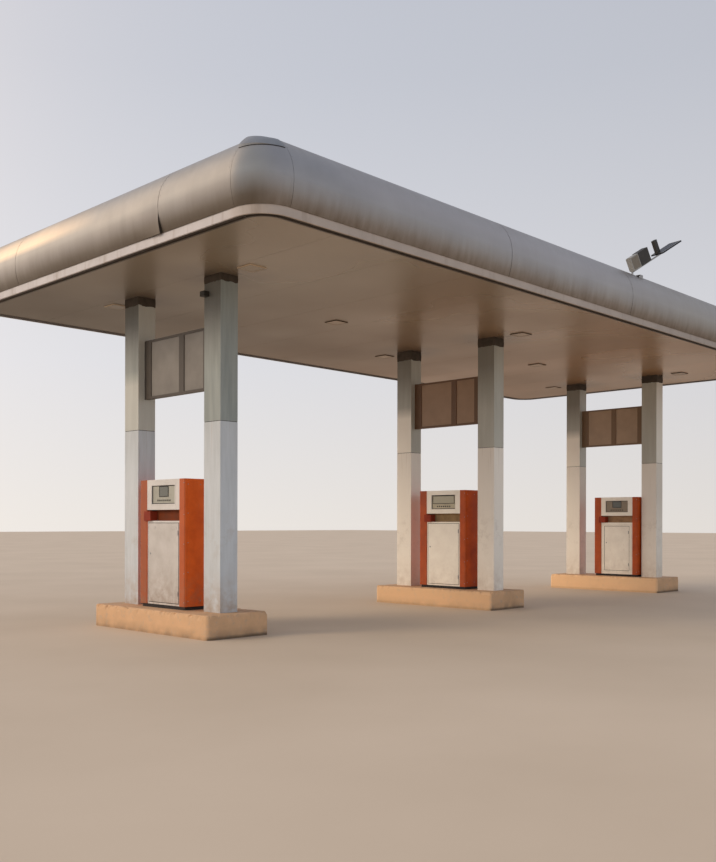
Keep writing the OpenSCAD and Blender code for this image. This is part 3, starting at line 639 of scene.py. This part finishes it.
# %% [markdown]
# ## The line of the bullnose
# The fascia section is two arcs that meet at the widest point, 5.42 m up. A rivet or a cap that
# sits on it needs the point and the direction outwards at any angle of those arcs, so one helper
# gives both, for the four straight sides and for the four round corners.

# %% Points on the fascia
HALF_W, WIDEST_Z, CORNER_R = 3.695, 5.42, 0.43
UPPER_R, LOWER_R, PROUD = 0.60, 0.857, 0.07
SIDES = {"front": (0, -1), "back": (0, 1), "left": (-1, 0), "right": (1, 0)}

def section(angle, lift=0.0):
    """How far out and how high the skin is at an angle in degrees above its widest point."""
    r = UPPER_R if angle >= 0 else LOWER_R
    a = math.radians(angle)
    return PROUD - r + (r + lift) * math.cos(a), WIDEST_Z + (r + lift) * math.sin(a)

def on_side(side, along, angle, lift=0.0):
    """A point of the skin on a straight side, and the direction outwards there."""
    out, z = section(angle, lift)
    sx, sy = SIDES[side]
    a = math.radians(angle)
    point = ((sx * (HALF_L + out)) if sx else along, (sy * (HALF_W + out)) if sy else along, z)
    return point, (sx * math.cos(a), sy * math.cos(a), math.sin(a))

def on_corner(sx, sy, turn, angle, lift=0.0):
    """A point of the skin on a round corner, turn degrees round from the short side."""
    out, z = section(angle, lift)
    t, r = math.radians(turn), CORNER_R + out
    return (sx * (HALF_L - CORNER_R + r * math.cos(t)), sy * (HALF_W - CORNER_R + r * math.sin(t)), z)

print("the front is widest at", [round(c, 3) for c in on_side("front", 0, 0)[0]])

# %% [markdown]
# ## Rivets of the fascia
# Each sheet is held by blind rivets beside its joints, and along its foot just above the lip.
# They are left out near the widest point, where nothing may stand proud of the canopy's own
# outline, as they are on the real sheet, which is folded in one piece there.

# %% Fascia rivets
JOINTS = {"front": (-3.235, 0.265, 3.765), "back": (3.235, -0.265, -3.765), "left": (-1.85, 1.85),
          "right": (-1.85, 1.85)}
BESIDE, RIVET_STEP, FOOT_ANGLE = 0.03, 0.4, -20
JOINT_ANGLES = (-19, -14.5, -10, 12, 19, 26, 33, 40, 47, 52)
heap = Heap()
for side, joints in JOINTS.items():
    end = (HALF_L if SIDES[side][1] else HALF_W) - CORNER_R
    for along in [j + d for j in joints for d in (-BESIDE, BESIDE)] + [end - BESIDE, BESIDE - end]:
        for angle in JOINT_ANGLES:
            heap.add(*RIVET, stand(*on_side(side, along, angle)))
    n = int(end * 2 / RIVET_STEP)
    for i in range(1, n):
        heap.add(*RIVET, stand(*on_side(side, -end + 2 * end * i / n, FOOT_ANGLE)))
heap.make("fascia_rivets", "fascia_silver", fascia_silver, smooth=True)

# %% [markdown]
# ## Corner caps
# A shallow cap of duller sheet lies over the top of each round corner, where the straight skins
# meet. It follows the upper curve from 37 degrees to the edge, 6 mm thick, with a thin dark bead
# under its foot that is a painted shadow line. On the near corner its end on the short side has
# sprung up by 32 mm, so it is modelled as one closed solid whose inner face stays on the skin
# while its outer face lifts.

# %% Corner caps
def sweep(heap, point, across, levels):
    """A closed strip: point(i, k, layer) for columns i, rows k, and layer 0 inside or 1 outside."""
    n, first = levels + 1, len(heap.verts)
    heap.verts += [tuple(point(i, k, layer)) for layer in (0, 1) for i in range(across + 1) for k in range(n)]
    at = lambda i, k, layer: first + (layer * (across + 1) + i) * n + k
    for i in range(across):
        for k in range(levels):
            for layer in (0, 1):
                heap.faces.append((at(i, k, layer), at(i + 1, k, layer),
                                   at(i + 1, k + 1, layer), at(i, k + 1, layer)))
        for k in (0, levels):
            heap.faces.append((at(i, k, 0), at(i + 1, k, 0), at(i + 1, k, 1), at(i, k, 1)))
    for i in (0, across):
        for k in range(levels):
            heap.faces.append((at(i, k, 0), at(i, k + 1, 0), at(i, k + 1, 1), at(i, k, 1)))

CAP_FROM, CAP_TO, CAP_ROWS, CAP_STEPS, CAP_TURN = 37.0, 53.9, 6, 20, 86.0
CAP_T, CAP_RISE, RISE_TURN, SINK, BEAD_T, BEAD_TURN = 0.006, 0.032, 60.0, -0.001, 0.004, 0.7

def on_cap(sx, sy, i, angle, lift, lifted):
    """A point of a cap in column i, at an angle of the section; lifted points spring up."""
    turn = i * CAP_TURN / CAP_STEPS
    x, y, z = on_corner(sx, sy, turn, angle, lift)
    rise = CAP_RISE * max(0.0, 1 - turn / RISE_TURN) if lifted and (sx, sy) == (-1, -1) else 0.0
    return x, y, z + rise

def cap_skin(sx, sy, i, k, layer):
    """A point of a cap's sheet, for column i and row k from its foot."""
    angle = CAP_FROM + (CAP_TO - CAP_FROM) * k / CAP_ROWS
    return on_cap(sx, sy, i, angle, CAP_T if layer else SINK, layer)

def cap_bead(sx, sy, i, k, layer):
    """A point of the dark bead under the foot of a cap, a painted shadow line."""
    return on_cap(sx, sy, i, CAP_FROM + (k - 1) * BEAD_TURN, BEAD_T if layer else SINK, False)

cap_grey = two_tone("cap_grey", ((0.37, 0.375, 0.38), (0.29, 0.295, 0.30)), (5, 4), (70, 2),
                    (0.05, 0.001), (0.3, 0.7), rough=0.42, metal=0.85)
caps, beads = Heap(), Heap()
for sx, sy in itertools.product((-1, 1), repeat=2):
    sweep(caps, lambda i, k, layer: cap_skin(sx, sy, i, k, layer), CAP_STEPS, CAP_ROWS)
    sweep(beads, lambda i, k, layer: cap_bead(sx, sy, i, k, layer), CAP_STEPS, 1)
caps.make("corner_caps", "fascia_silver", cap_grey, smooth=True)
# The dark bead is a painted shadow line under the foot of each cap.
beads.make("corner_shadow_bead", "dark_steel", dark_steel)

# %% [markdown]
# ## The loose sheet on the left side
# At the joint of the left side nearer the front, the foot of the farther sheet has sprung away
# from its rivets, and a dark wedge shows under its edge. The sprung part is a thin strip laid
# over the skin, lifted most at its lower corner and running out to nothing upwards and sideways.
# It does not pass the widest line of the canopy. A plate closes the wedge, dark as a painted shade.

# %% Loose sheet
LOOSE_Y, LOOSE_W, LOOSE_LIFT, FOOT_TURN = -1.852, 0.50, 0.030, 21.4
LOOSE_COLUMNS, LOOSE_ROWS, LOOSE_T = 14, 16, 0.0012

def room(low):
    """How far the skin at an angle lies inside the widest line."""
    return max(0.0, PROUD - section(low)[0] - 0.001)

def row_angle(k):
    """The angle of a row, from the foot of the skin to one degree below its widest line."""
    return -FOOT_TURN + (FOOT_TURN - 1.0) * k / LOOSE_ROWS

def loose(i, k, layer):
    """A point of the sprung strip, in column i from the joint and row k from the foot."""
    along, low = i / LOOSE_COLUMNS, row_angle(k)
    lift = (-low / FOOT_TURN) ** 1.2 * (1 - along) ** 1.4 * LOOSE_LIFT
    lift = min(lift + LOOSE_T, room(low)) if layer else min(lift, room(low)) - LOOSE_T
    return on_side("left", LOOSE_Y + LOOSE_W * along, low, lift)[0]

def web(i, k, layer):
    """A point of the plate, dark as a painted shade, that stands across the wedge at the joint."""
    low = row_angle(k)
    lift = min((-low / FOOT_TURN) ** 1.2 * LOOSE_LIFT, room(low)) * i
    return on_side("left", LOOSE_Y + 0.002 + 0.003 * layer, low, lift - LOOSE_T / 2)[0]

sheet, wedge = Heap(), Heap()
sweep(sheet, loose, LOOSE_COLUMNS, LOOSE_ROWS)
sweep(wedge, web, 1, LOOSE_ROWS)
sheet.make("loose_fascia_sheet", "fascia_silver", fascia_silver, smooth=True)
# The plate's dark brown is a painted shade in the wedge.
wedge.make("loose_sheet_wedge", "dark_steel", edge_brown)

# %% [markdown]
# ## Rivets of the casings
# Each casing is four folded sheets, riveted in rows of three at its foot, on both sides of the
# joint and at its head.

# %% Casing rivets
COLUMN_X, COLUMN_Y = (-COLUMN_STEP, 0.0, COLUMN_STEP), (-COLUMN_OFF, COLUMN_OFF)
CASING_W, CASING_L, FROM_EDGE = 0.15, 0.185, 0.035
LOW_ROWS, HIGH_ROWS = (0.42, 2.945), (3.013, 4.925)
low_rivets, high_rivets = Heap(), Heap()
for x, y in itertools.product(COLUMN_X, COLUMN_Y):
    for nx, ny in SIDES.values():
        half = (CASING_L if nx else CASING_W) - FROM_EDGE
        for across in (-half, 0.0, half):
            px, py = x + nx * CASING_W + ny * across, y + ny * CASING_L + nx * across
            for rivets, rows in ((low_rivets, LOW_ROWS), (high_rivets, HIGH_ROWS)):
                for z in rows:
                    rivets.add(*RIVET, stand((px, py, z), (nx, ny, 0)))
low_rivets.make("lower_casing_rivets", "casing_white", casing_white, smooth=True)
high_rivets.make("upper_casing_rivets", "casing_grey", casing_grey, smooth=True)

# %% [markdown]
# ## Soffit screws
# Pan head screws run in pairs along both edges of every soffit sheet, where it crosses a rail.
# They point down, so their stamp is turned over.

# %% Soffit screws
SOFFIT_Z, SHEETS, PAIR, CLEAR, RIM = 5.013, 12, 0.02, 0.13, 0.16
RAIL_Y = (-3.265, -2.3625, -1.46, -0.505, 0.505, 1.46, 2.3625, 3.265)
PAN = rings([(0.007, -0.0006), (0.007, 0.001), (0.005, 0.0028)], 10)
heap = Heap()
for i in range(SHEETS + 1):
    for d in (-PAIR, PAIR):
        x = -HALF_L + i * SOFFIT_SHEET + d
        for y in RAIL_Y:
            over_column = any(abs(x - cx) < CLEAR for cx in COLUMN_X) and abs(abs(y) - COLUMN_OFF) < CLEAR
            if abs(x) < HALF_L - RIM and not over_column:
                heap.add(*PAN, stand((x, y, SOFFIT_Z), (0, 0, -1)))
heap.make("soffit_screws", "soffit_taupe", soffit_taupe, smooth=True)

# %% [markdown]
# ## Screws of the sign boards
# The frames are screwed together at the corners, at the middle post and once in each half, on
# both faces.

# %% Board screws
BOARD_T, BOARD_LO, BOARD_HI, BOARD_Y = 0.04, 3.4675, 4.3225, 0.74
MULLION_Y, FRONT_HALF_Y, BACK_HALF_Y = (-0.125, -0.165, -0.035), -0.45, 0.35
heap = Heap()
for (x, mullion), s in itertools.product(zip(COLUMN_X, MULLION_Y), (-1, 1)):
    places = (-BOARD_Y, FRONT_HALF_Y, mullion, BACK_HALF_Y, BOARD_Y)
    for y, z in itertools.product(places, (BOARD_LO, BOARD_HI)):
        heap.add(*PAN, stand((x + s * BOARD_T, y, z), (s, 0, 0)))
heap.make("board_screws", "board_frame_brown", board_brown, smooth=True)

# %% [markdown]
# ## Doors and locks of the dispensers
# The white front of a cabinet is a door with a thin dark gasket round it, two hinges at one edge,
# a round lock at the other, and two small pulls near its top. The last dispenser has a smaller
# door inside a raised frame. Both faces of a dispenser are the same.

# %% Doors
DISPENSER_Y = (0.0, -0.09, -0.245)
FACE, DOOR_LO, DOOR_HI, DOOR_HALF, DOOR_T = 0.255, 0.415, 1.565, 0.375, 0.006
SMALLER, FRAME_W, GAP, LOCK_Z = 0.055, 0.045, 0.009, 1.12
HINGE = rings([(0.006, -0.035), (0.008, -0.033), (0.008, 0.033), (0.006, 0.035)], 12)
LOCK = rings([(0.014, -0.001), (0.014, 0.003), (0.012, 0.005), (0.004, 0.005), (0.0035, 0.003)], 20)
doors, gaskets, pulls, hinges = Heap(), Heap(), Heap(), Heap()

def on_face(heap, x, s, depth, y0, y1, z0, z1, thick, ease=0.002):
    """A plate on a face of a dispenser, depth out from its middle, thick outwards."""
    a, b = sorted((x + s * (depth - 0.0006), x + s * (depth + thick)))
    heap.add(*plate((a, y0, z0), (b, y1, z1), ease))

def border(heap, x, s, depth, y0, y1, z0, z1, wide, thick, ease=0.001):
    """Four plates round an opening from y0 to y1 and z0 to z1."""
    for span in ((y0 - wide, y1 + wide, z0 - wide, z0), (y0 - wide, y1 + wide, z1, z1 + wide),
                 (y0 - wide, y0, z0, z1), (y1, y1 + wide, z0, z1)):
        on_face(heap, x, s, depth, *span, thick, ease)

for (x, y), s in itertools.product(zip(COLUMN_X, DISPENSER_Y), (-1, 1)):
    inset, front = SMALLER if x > 0 else 0.0, x + s * (FACE + DOOR_T)
    y0, y1, z0, z1 = y - DOOR_HALF + inset, y + DOOR_HALF - inset, DOOR_LO + inset, DOOR_HI - inset
    on_face(doors, x, s, FACE, y0, y1, z0, z1, DOOR_T, 0.003)
    border(gaskets, x, s, FACE, y0 - 0.001, y1 + 0.001, z0 - 0.001, z1 + 0.001, 0.007, 0.0025)
    if inset:
        border(doors, x, s, FACE, y0 - GAP, y1 + GAP, z0 - GAP, z1 + GAP, FRAME_W, 0.009, 0.003)
    for z in (z0 + 0.14, z1 - 0.14):
        hinges.add(*HINGE, Matrix.Translation((front, y0 + 0.012, z)))
    hinges.add(*LOCK, stand((front, y1 - 0.05, LOCK_Z), (s, 0, 0)))
    for start in (y1 - 0.17, y0 + 0.05):
        on_face(pulls, x, s, FACE + DOOR_T, start, start + 0.12, z1 - 0.085, z1 - 0.05, 0.004)
doors.make("dispenser_doors", "dispenser_white", door_cream)
gaskets.make("door_gaskets", "dark_steel", dark_steel)
pulls.make("door_pulls", "dispenser_white", door_cream)
hinges.make("door_hinges", "galvanised_steel", zinc_steel)

# %% [markdown]
# ## Rims of the head windows
# A narrow dark rim lines each head window at the face plate, and a narrower one, which stands
# further out, frames the display. Below the display sits a row of plain push buttons, and a cream
# trim covers the edge of the window on the face of the head. Rims this thin are plates too.

# %% Window rims
PLATE_FACE, HEAD_FACE, WINDOW_Z, DISPLAY_Z = 0.25, 0.265, 1.98, 2.025
WINDOW_W, WINDOW_H, DISPLAY_W, DISPLAY_H = 0.58, 0.27, (0.21, 0.51, 0.21), 0.135
BUTTON_STEP, BUTTON_W, BUTTON_LO, BUTTON_HI = 0.05, 0.028, 1.884, 1.908
rims, buttons, trims = Heap(), Heap(), Heap()

def window(heap, x, s, depth, y, z, wide, high, inset, *strip):
    """A border just inside a window of this width and height, with its middle at y and z."""
    y_reach, z_reach = wide / 2 - inset, high / 2 - inset
    border(heap, x, s, depth, y - y_reach, y + y_reach, z - z_reach, z + z_reach, *strip)

for (x, y, wide), s in itertools.product(zip(COLUMN_X, DISPENSER_Y, DISPLAY_W), (-1, 1)):
    window(rims, x, s, PLATE_FACE, y, WINDOW_Z, WINDOW_W, WINDOW_H, 0.012, 0.011, 0.004)
    window(rims, x, s, PLATE_FACE, y, DISPLAY_Z, wide, DISPLAY_H, 0.0, 0.009, 0.0075)
    for k in range(-3, 4):
        left = y + k * BUTTON_STEP - BUTTON_W / 2
        on_face(buttons, x, s, PLATE_FACE, left, left + BUTTON_W, BUTTON_LO, BUTTON_HI, 0.004)
    window(trims, x, s, HEAD_FACE, y, WINDOW_Z, WINDOW_W, WINDOW_H, 0.001, 0.022, 0.003, 0.002)
rims.make("window_rims", "dark_steel", dark_steel)
buttons.make("window_buttons", "lamp_black", lamp_black)
trims.make("window_trims", "dispenser_white", cream)

# %% [markdown]
# ## Covers and screws of the pillars
# The end of each orange pillar is closed by a cover sheet with screws along its edges. A row of
# screws also runs up both faces of the pillar beside that end.

# %% Pillar covers
PILLAR_X, COVER_X, COVER_LO, COVER_HI, COVER_T = 0.27, 0.235, 0.43, 2.15, 0.003
PILLAR_ENDS, END_X = ((-1, 0.54), (1, 0.59)), (-0.215, 0.0, 0.215)
END_SCREWS, FACE_SCREWS = (0.46, 0.87, 1.29, 1.71, 2.12), (0.44, 0.85, 1.27, 1.69, 2.14)
covers, screws = Heap(), Heap()
for (x, y), (s, reach) in itertools.product(zip(COLUMN_X, DISPENSER_Y), PILLAR_ENDS):
    end = y + s * reach
    lo, hi = sorted((end - s * 0.0006, end + s * COVER_T))
    covers.add(*plate((x - COVER_X, lo, COVER_LO), (x + COVER_X, hi, COVER_HI)))
    for px, pz in itertools.product(END_X, END_SCREWS):
        if px or pz in (END_SCREWS[0], END_SCREWS[-1]):
            screws.add(*PAN, stand((x + px, end + s * COVER_T, pz), (0, s, 0)))
    for face, pz in itertools.product((-1, 1), FACE_SCREWS):
        screws.add(*PAN, stand((x + face * PILLAR_X, y + s * (reach - 0.022), pz), (face, 0, 0)))
covers.make("pillar_covers", "dispenser_orange", orange)
screws.make("pillar_screws", "galvanised_steel", zinc_steel, smooth=True)

# %% [markdown]
# ## Worn islands
# The islands are concrete kerbs, knocked and chipped for years. A clean block cannot show
# that, and bump alone would leave a straight edge, so each island is modelled again as rings of
# points round its outline, from its foot over the rounded arris to the top. Noise pushes the
# points inwards and down, never out: a little everywhere, and in bites along the arris. The flat
# top where the columns and the dispenser stand is not touched, so the pieces stand for the solids.
# The concrete is painted pale on its left faces, a painted sunlight, scuffed dark low down, and
# darker at its foot, partly dirt and partly a painted contact shade.

# %% Island finish
f = Finish("island_concrete", rough=0.85)
grain = f.noise(38, 5, 0.7)
patch = f.noise(2.4, 5, 0.65)
base = f.mix(f.ramp(patch, 0.3, 0.7), (0.68, 0.43, 0.25), (0.53, 0.34, 0.20))
scuffs = f.times(f.ramp(f.z, 0.15, 0.0), f.ramp(f.noise(5, 4), 0.35, 0.6, 0.2, 0.8))
base = f.mix(scuffs, base, (0.23, 0.155, 0.10))
base = f.mix(f.ramp(f.noise(9, 5, 0.7), 0.55, 0.70, 0.0, 0.6), base, (0.40, 0.335, 0.27))
base = f.mix(f.ramp(grain, 0.6, 0.75, 0.0, 0.3), base, (0.62, 0.45, 0.30))
# A painted sunlight on the left faces of the islands.
left_sunlight = f.times(f.facing("X"), f.ramp(f.x, -6.0, 5.0, 0.14, 0.74))
base = f.mix(f.times(left_sunlight, f.ramp(patch, 0.25, 0.6, 0.7, 1.0)), base, (1.0, 0.68, 0.41))
# Darker at the foot: partly dirt, partly a painted contact shade.
foot_shade_and_dirt = f.times(f.ramp(f.z, 0.055, 0.02), f.math("ADD", 0.2, f.times(f.facing("Y"), 0.6)))
base = f.mix(foot_shade_and_dirt, base, (0.10, 0.07, 0.045))
f.bump((grain, 0.4, 0.004), (f.noise(7, 4), 0.3, 0.01))
island_concrete = f.done(base)

# %% Worn islands
ISLAND_H, ISLAND_R, STEP, DEEPEST, LOWEST = 0.33, 0.06, 0.022, 0.03, 0.02

def outline(lo, hi, r, inset):
    """Points and outward directions round a rounded rectangle, inset from its edge."""
    r, points = max(r - inset, 0.004), []
    x0, y0, x1, y1 = lo[0] + inset, lo[1] + inset, hi[0] - inset, hi[1] - inset
    for cx, cy, start in ((x1 - r, y0 + r, -90), (x1 - r, y1 - r, 0), (x0 + r, y1 - r, 90),
                          (x0 + r, y0 + r, 180)):
        points += [(cx, cy, math.radians(start + 90 * k / 5)) for k in range(6)]
    return [((cx + r * math.cos(a), cy + r * math.sin(a)), (math.cos(a), math.sin(a)))
            for cx, cy, a in points]

def count_steps(ring, step):
    """How many steps fit between each point of an outline and the next."""
    return [max(1, round(math.dist(p, ring[(i + 1) % len(ring)][0]) / step))
            for i, (p, n) in enumerate(ring)]

def fill(ring, counts):
    """Splits the straight stretches of an outline evenly, so every ring has the same points."""
    out = []
    for i, (p, n) in enumerate(ring):
        q = ring[(i + 1) % len(ring)][0]
        for k in range(counts[i]):
            t = k / counts[i]
            out.append(((p[0] + (q[0] - p[0]) * t, p[1] + (q[1] - p[1]) * t), n))
    return out

def bite(p, size, cut):
    """How far the noise at a point rises above a cut, and 0 where it stays below."""
    return max(0.0, noise.fractal(Vector(p) * size, 0.9, 2.1, 4) - cut)

def worn_island(name):
    """Rings of worn points that stand for the solid of this name."""
    lo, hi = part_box(name)
    counts = count_steps(outline(lo, hi, ISLAND_R, 0.0), STEP)
    levels = [(0.0, z) for z in [0.0] + [0.02 + 0.0285 * k for k in range(10)]]
    levels += [(0.003, 0.3125), (0.007, 0.3195), (0.012, 0.3255), (0.018, 0.3290)]
    levels += [(inset, ISLAND_H) for inset in (0.026, 0.045, 0.07)]
    verts = []
    for inset, z in levels:
        for (x, y), (nx, ny) in fill(outline(lo, hi, ISLAND_R, inset), counts):
            edge = max(0.0, 1 - math.hypot(inset - 0.01, z - 0.318) / 0.055)
            push = 0.0025 * (1 + noise.noise(Vector((x, y, z)) * 9)) * (0.0 if inset > 0.02 else 1.0)
            push += edge * 0.075 * bite((x, y, z), 7.0, 0.22) + edge * 0.02 * bite((x, y, z * 0.5), 26.0, 0.1)
            drop = edge * (0.055 * bite((x + 5, y, z), 7.0, 0.24) + 0.012 * bite((x, y, z), 22.0, 0.15))
            push = min(push, DEEPEST)
            verts.append((x - nx * push, y - ny * push, max(0.0, z - min(drop, LOWEST)) if z else 0.0))
    heap = Heap()
    heap.add(verts, shell(len(levels), sum(counts)))
    piece = heap.make("worn_" + name, "island_concrete", island_concrete)
    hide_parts(name)
    print(name, "stands from", [round(c, 3) for c in lo], "to", [round(c, 3) for c in hi])

for island in ("left_island", "middle_island", "right_island"):
    worn_island(island)

# %% [markdown]
# ## Skirts of the column heads
# A dark skirt closes the gap between the head of each casing and the ceiling, and its dark colour
# is a painted shade there. It wraps the head 4 mm proud of the sheet and bulges a little where it
# is squeezed. Skirts hang to different depths and their lower edges are ragged, so each is a ring
# of points round the casing whose foot wanders with the noise.

# %% Head skirts
SKIRT_DROPS, SKIRT_TOP, SKIRT_R = (0.10, 0.13, 0.16, 0.19, 0.16, 0.15), 5.0125, 0.008
SKIRT_RINGS = ((-0.004, 0.0), (-0.010, 0.45), (-0.005, 1.0), (0.002, 1.0), (0.002, 0.0))
# The skirts' dark colour is a painted shade between the heads and the ceiling.
skirt_painted_shade = two_tone("skirt_painted_shade", ((0.042, 0.031, 0.021), (0.075, 0.056, 0.040)), (11, 4), (30, 4),
                        (0.3, 0.004), (0.3, 0.7), rough=0.7)

skirts = Heap()
for (x, y), drop in zip(itertools.product(COLUMN_X, COLUMN_Y), SKIRT_DROPS):
    lo, hi = (x - CASING_W, y - CASING_L), (x + CASING_W, y + CASING_L)
    counts, verts = count_steps(outline(lo, hi, SKIRT_R, 0.0), 0.03), []
    for inset, up in SKIRT_RINGS:
        for (px, py), n in fill(outline(lo, hi, SKIRT_R, inset), counts):
            ragged = drop + 0.014 * noise.fractal(Vector((px, py, drop)) * 14, 0.8, 2.1, 3)
            verts.append((px, py, SKIRT_TOP - ragged * (1 - up)))
    skirts.add(verts, shell(len(SKIRT_RINGS), sum(counts), closed=True))
skirts.make("head_skirts", "dark_steel", skirt_painted_shade, smooth=True)

# %% [markdown]
# ## Roof screws
# The ribbed sheets are fixed through the crown of every second rib at each purlin, with a round
# head on a wide washer. The roof falls 2 degrees to the gutter in the middle, so the screws are
# set out in the plane of one half and then turned with it.

# %% Roof screws
FALL, SHEET_FOOT, RIB, RIBS, FIRST_RIB, CROWN_H = math.radians(2), 5.392, 0.25, 60, -7.425, 0.1512
PURLINS, FIRST_PURLIN, PURLIN_STEP = 4, 0.21, 3.077 / 3
WASHERED = rings([(0.012, -0.0008), (0.012, 0.0012), (0.0068, 0.0012), (0.0068, 0.006), (0.0056, 0.007)], 12)
heap = Heap()
for half in (0, math.pi):
    plane = Matrix.Rotation(half, 4, "Z") @ Matrix.Translation((0, 0, SHEET_FOOT))
    plane = plane @ Matrix.Rotation(FALL, 4, "X")
    for row in range(PURLINS):
        y = (FIRST_PURLIN + row * PURLIN_STEP) / math.cos(FALL)
        for rib in range(0, RIBS, 2):
            heap.add(*WASHERED, plane @ Matrix.Translation((FIRST_RIB + rib * RIB, y, CROWN_H)))
heap.make("roof_screws", "galvanised_steel", zinc_steel)

# %% [markdown]
# ## Details of the floodlight
# The lamp has cooling fins on its back, a glass plate on its front, and four screws. The solar
# panel is a grid of dark cells under glass in a thin alloy frame. Both sit on one arm, so they
# are made in the arm's own directions and turned with it.

# %% Floodlight
FOOT, ARM_TURN, ARM_TILT, ARM_UP = (0.88, -3.42, 5.9054), math.radians(-10), math.radians(-30), 0.1
arm = Matrix.Translation(FOOT) @ Matrix.Rotation(ARM_TURN, 4, "Z")
arm = arm @ Matrix.Translation((0, 0, ARM_UP)) @ Matrix.Rotation(ARM_TILT, 4, "Y")
FINS, FIN_STEP, CELLS_ALONG, CELLS_ACROSS = 9, 0.025, 9, 3
CELL_L, CELL_W, STEP_ALONG, STEP_ACROSS = 0.062, 0.0725, 0.0655, 0.0755

def on_arm(heap, lo, hi, ease=0.001):
    """A plate in the arm's own directions, turned with it."""
    heap.add(*plate(lo, hi, ease), arm)

fins, glass, bolts, cells, rim = Heap(), Heap(), Heap(), Heap(), Heap()
for k in range(FINS):
    on_arm(fins, (-0.022 + k * FIN_STEP, 0.0195, 0.012), (-0.018 + k * FIN_STEP, 0.040, 0.233))
on_arm(glass, (-0.012, -0.0725, 0.018), (0.182, -0.0695, 0.227))
for a, n in itertools.product((-0.022, 0.192), (0.008, 0.237)):
    bolts.add(*PAN, arm @ stand((a, -0.07, n), (0, -1, 0)))
for a, w in itertools.product(range(CELLS_ALONG), range(CELLS_ACROSS)):
    u, v = 0.817 + a * STEP_ALONG, -0.112 + w * STEP_ACROSS
    on_arm(cells, (u, v, 0.0246), (u + CELL_L, v + CELL_W, 0.0256), 0.0004)
for u0, v0, u1, v1 in ((0.80, -0.125, 1.412, -0.115), (0.80, 0.115, 1.412, 0.125),
                       (0.80, -0.115, 0.81, 0.115), (1.402, -0.115, 1.412, 0.115)):
    on_arm(rim, (u0, v0, 0.0245), (u1, v1, 0.0285))
fins.make("flood_fins", "lamp_grey", lamp_grey)
glass.make("flood_glass", "solar_glass", flood_glass)
bolts.make("flood_bolts", "galvanised_steel", zinc_steel, smooth=True)
cells.make("solar_cells", "solar_glass", solar_glass)
rim.make("solar_frame", "galvanised_steel", zinc_steel)
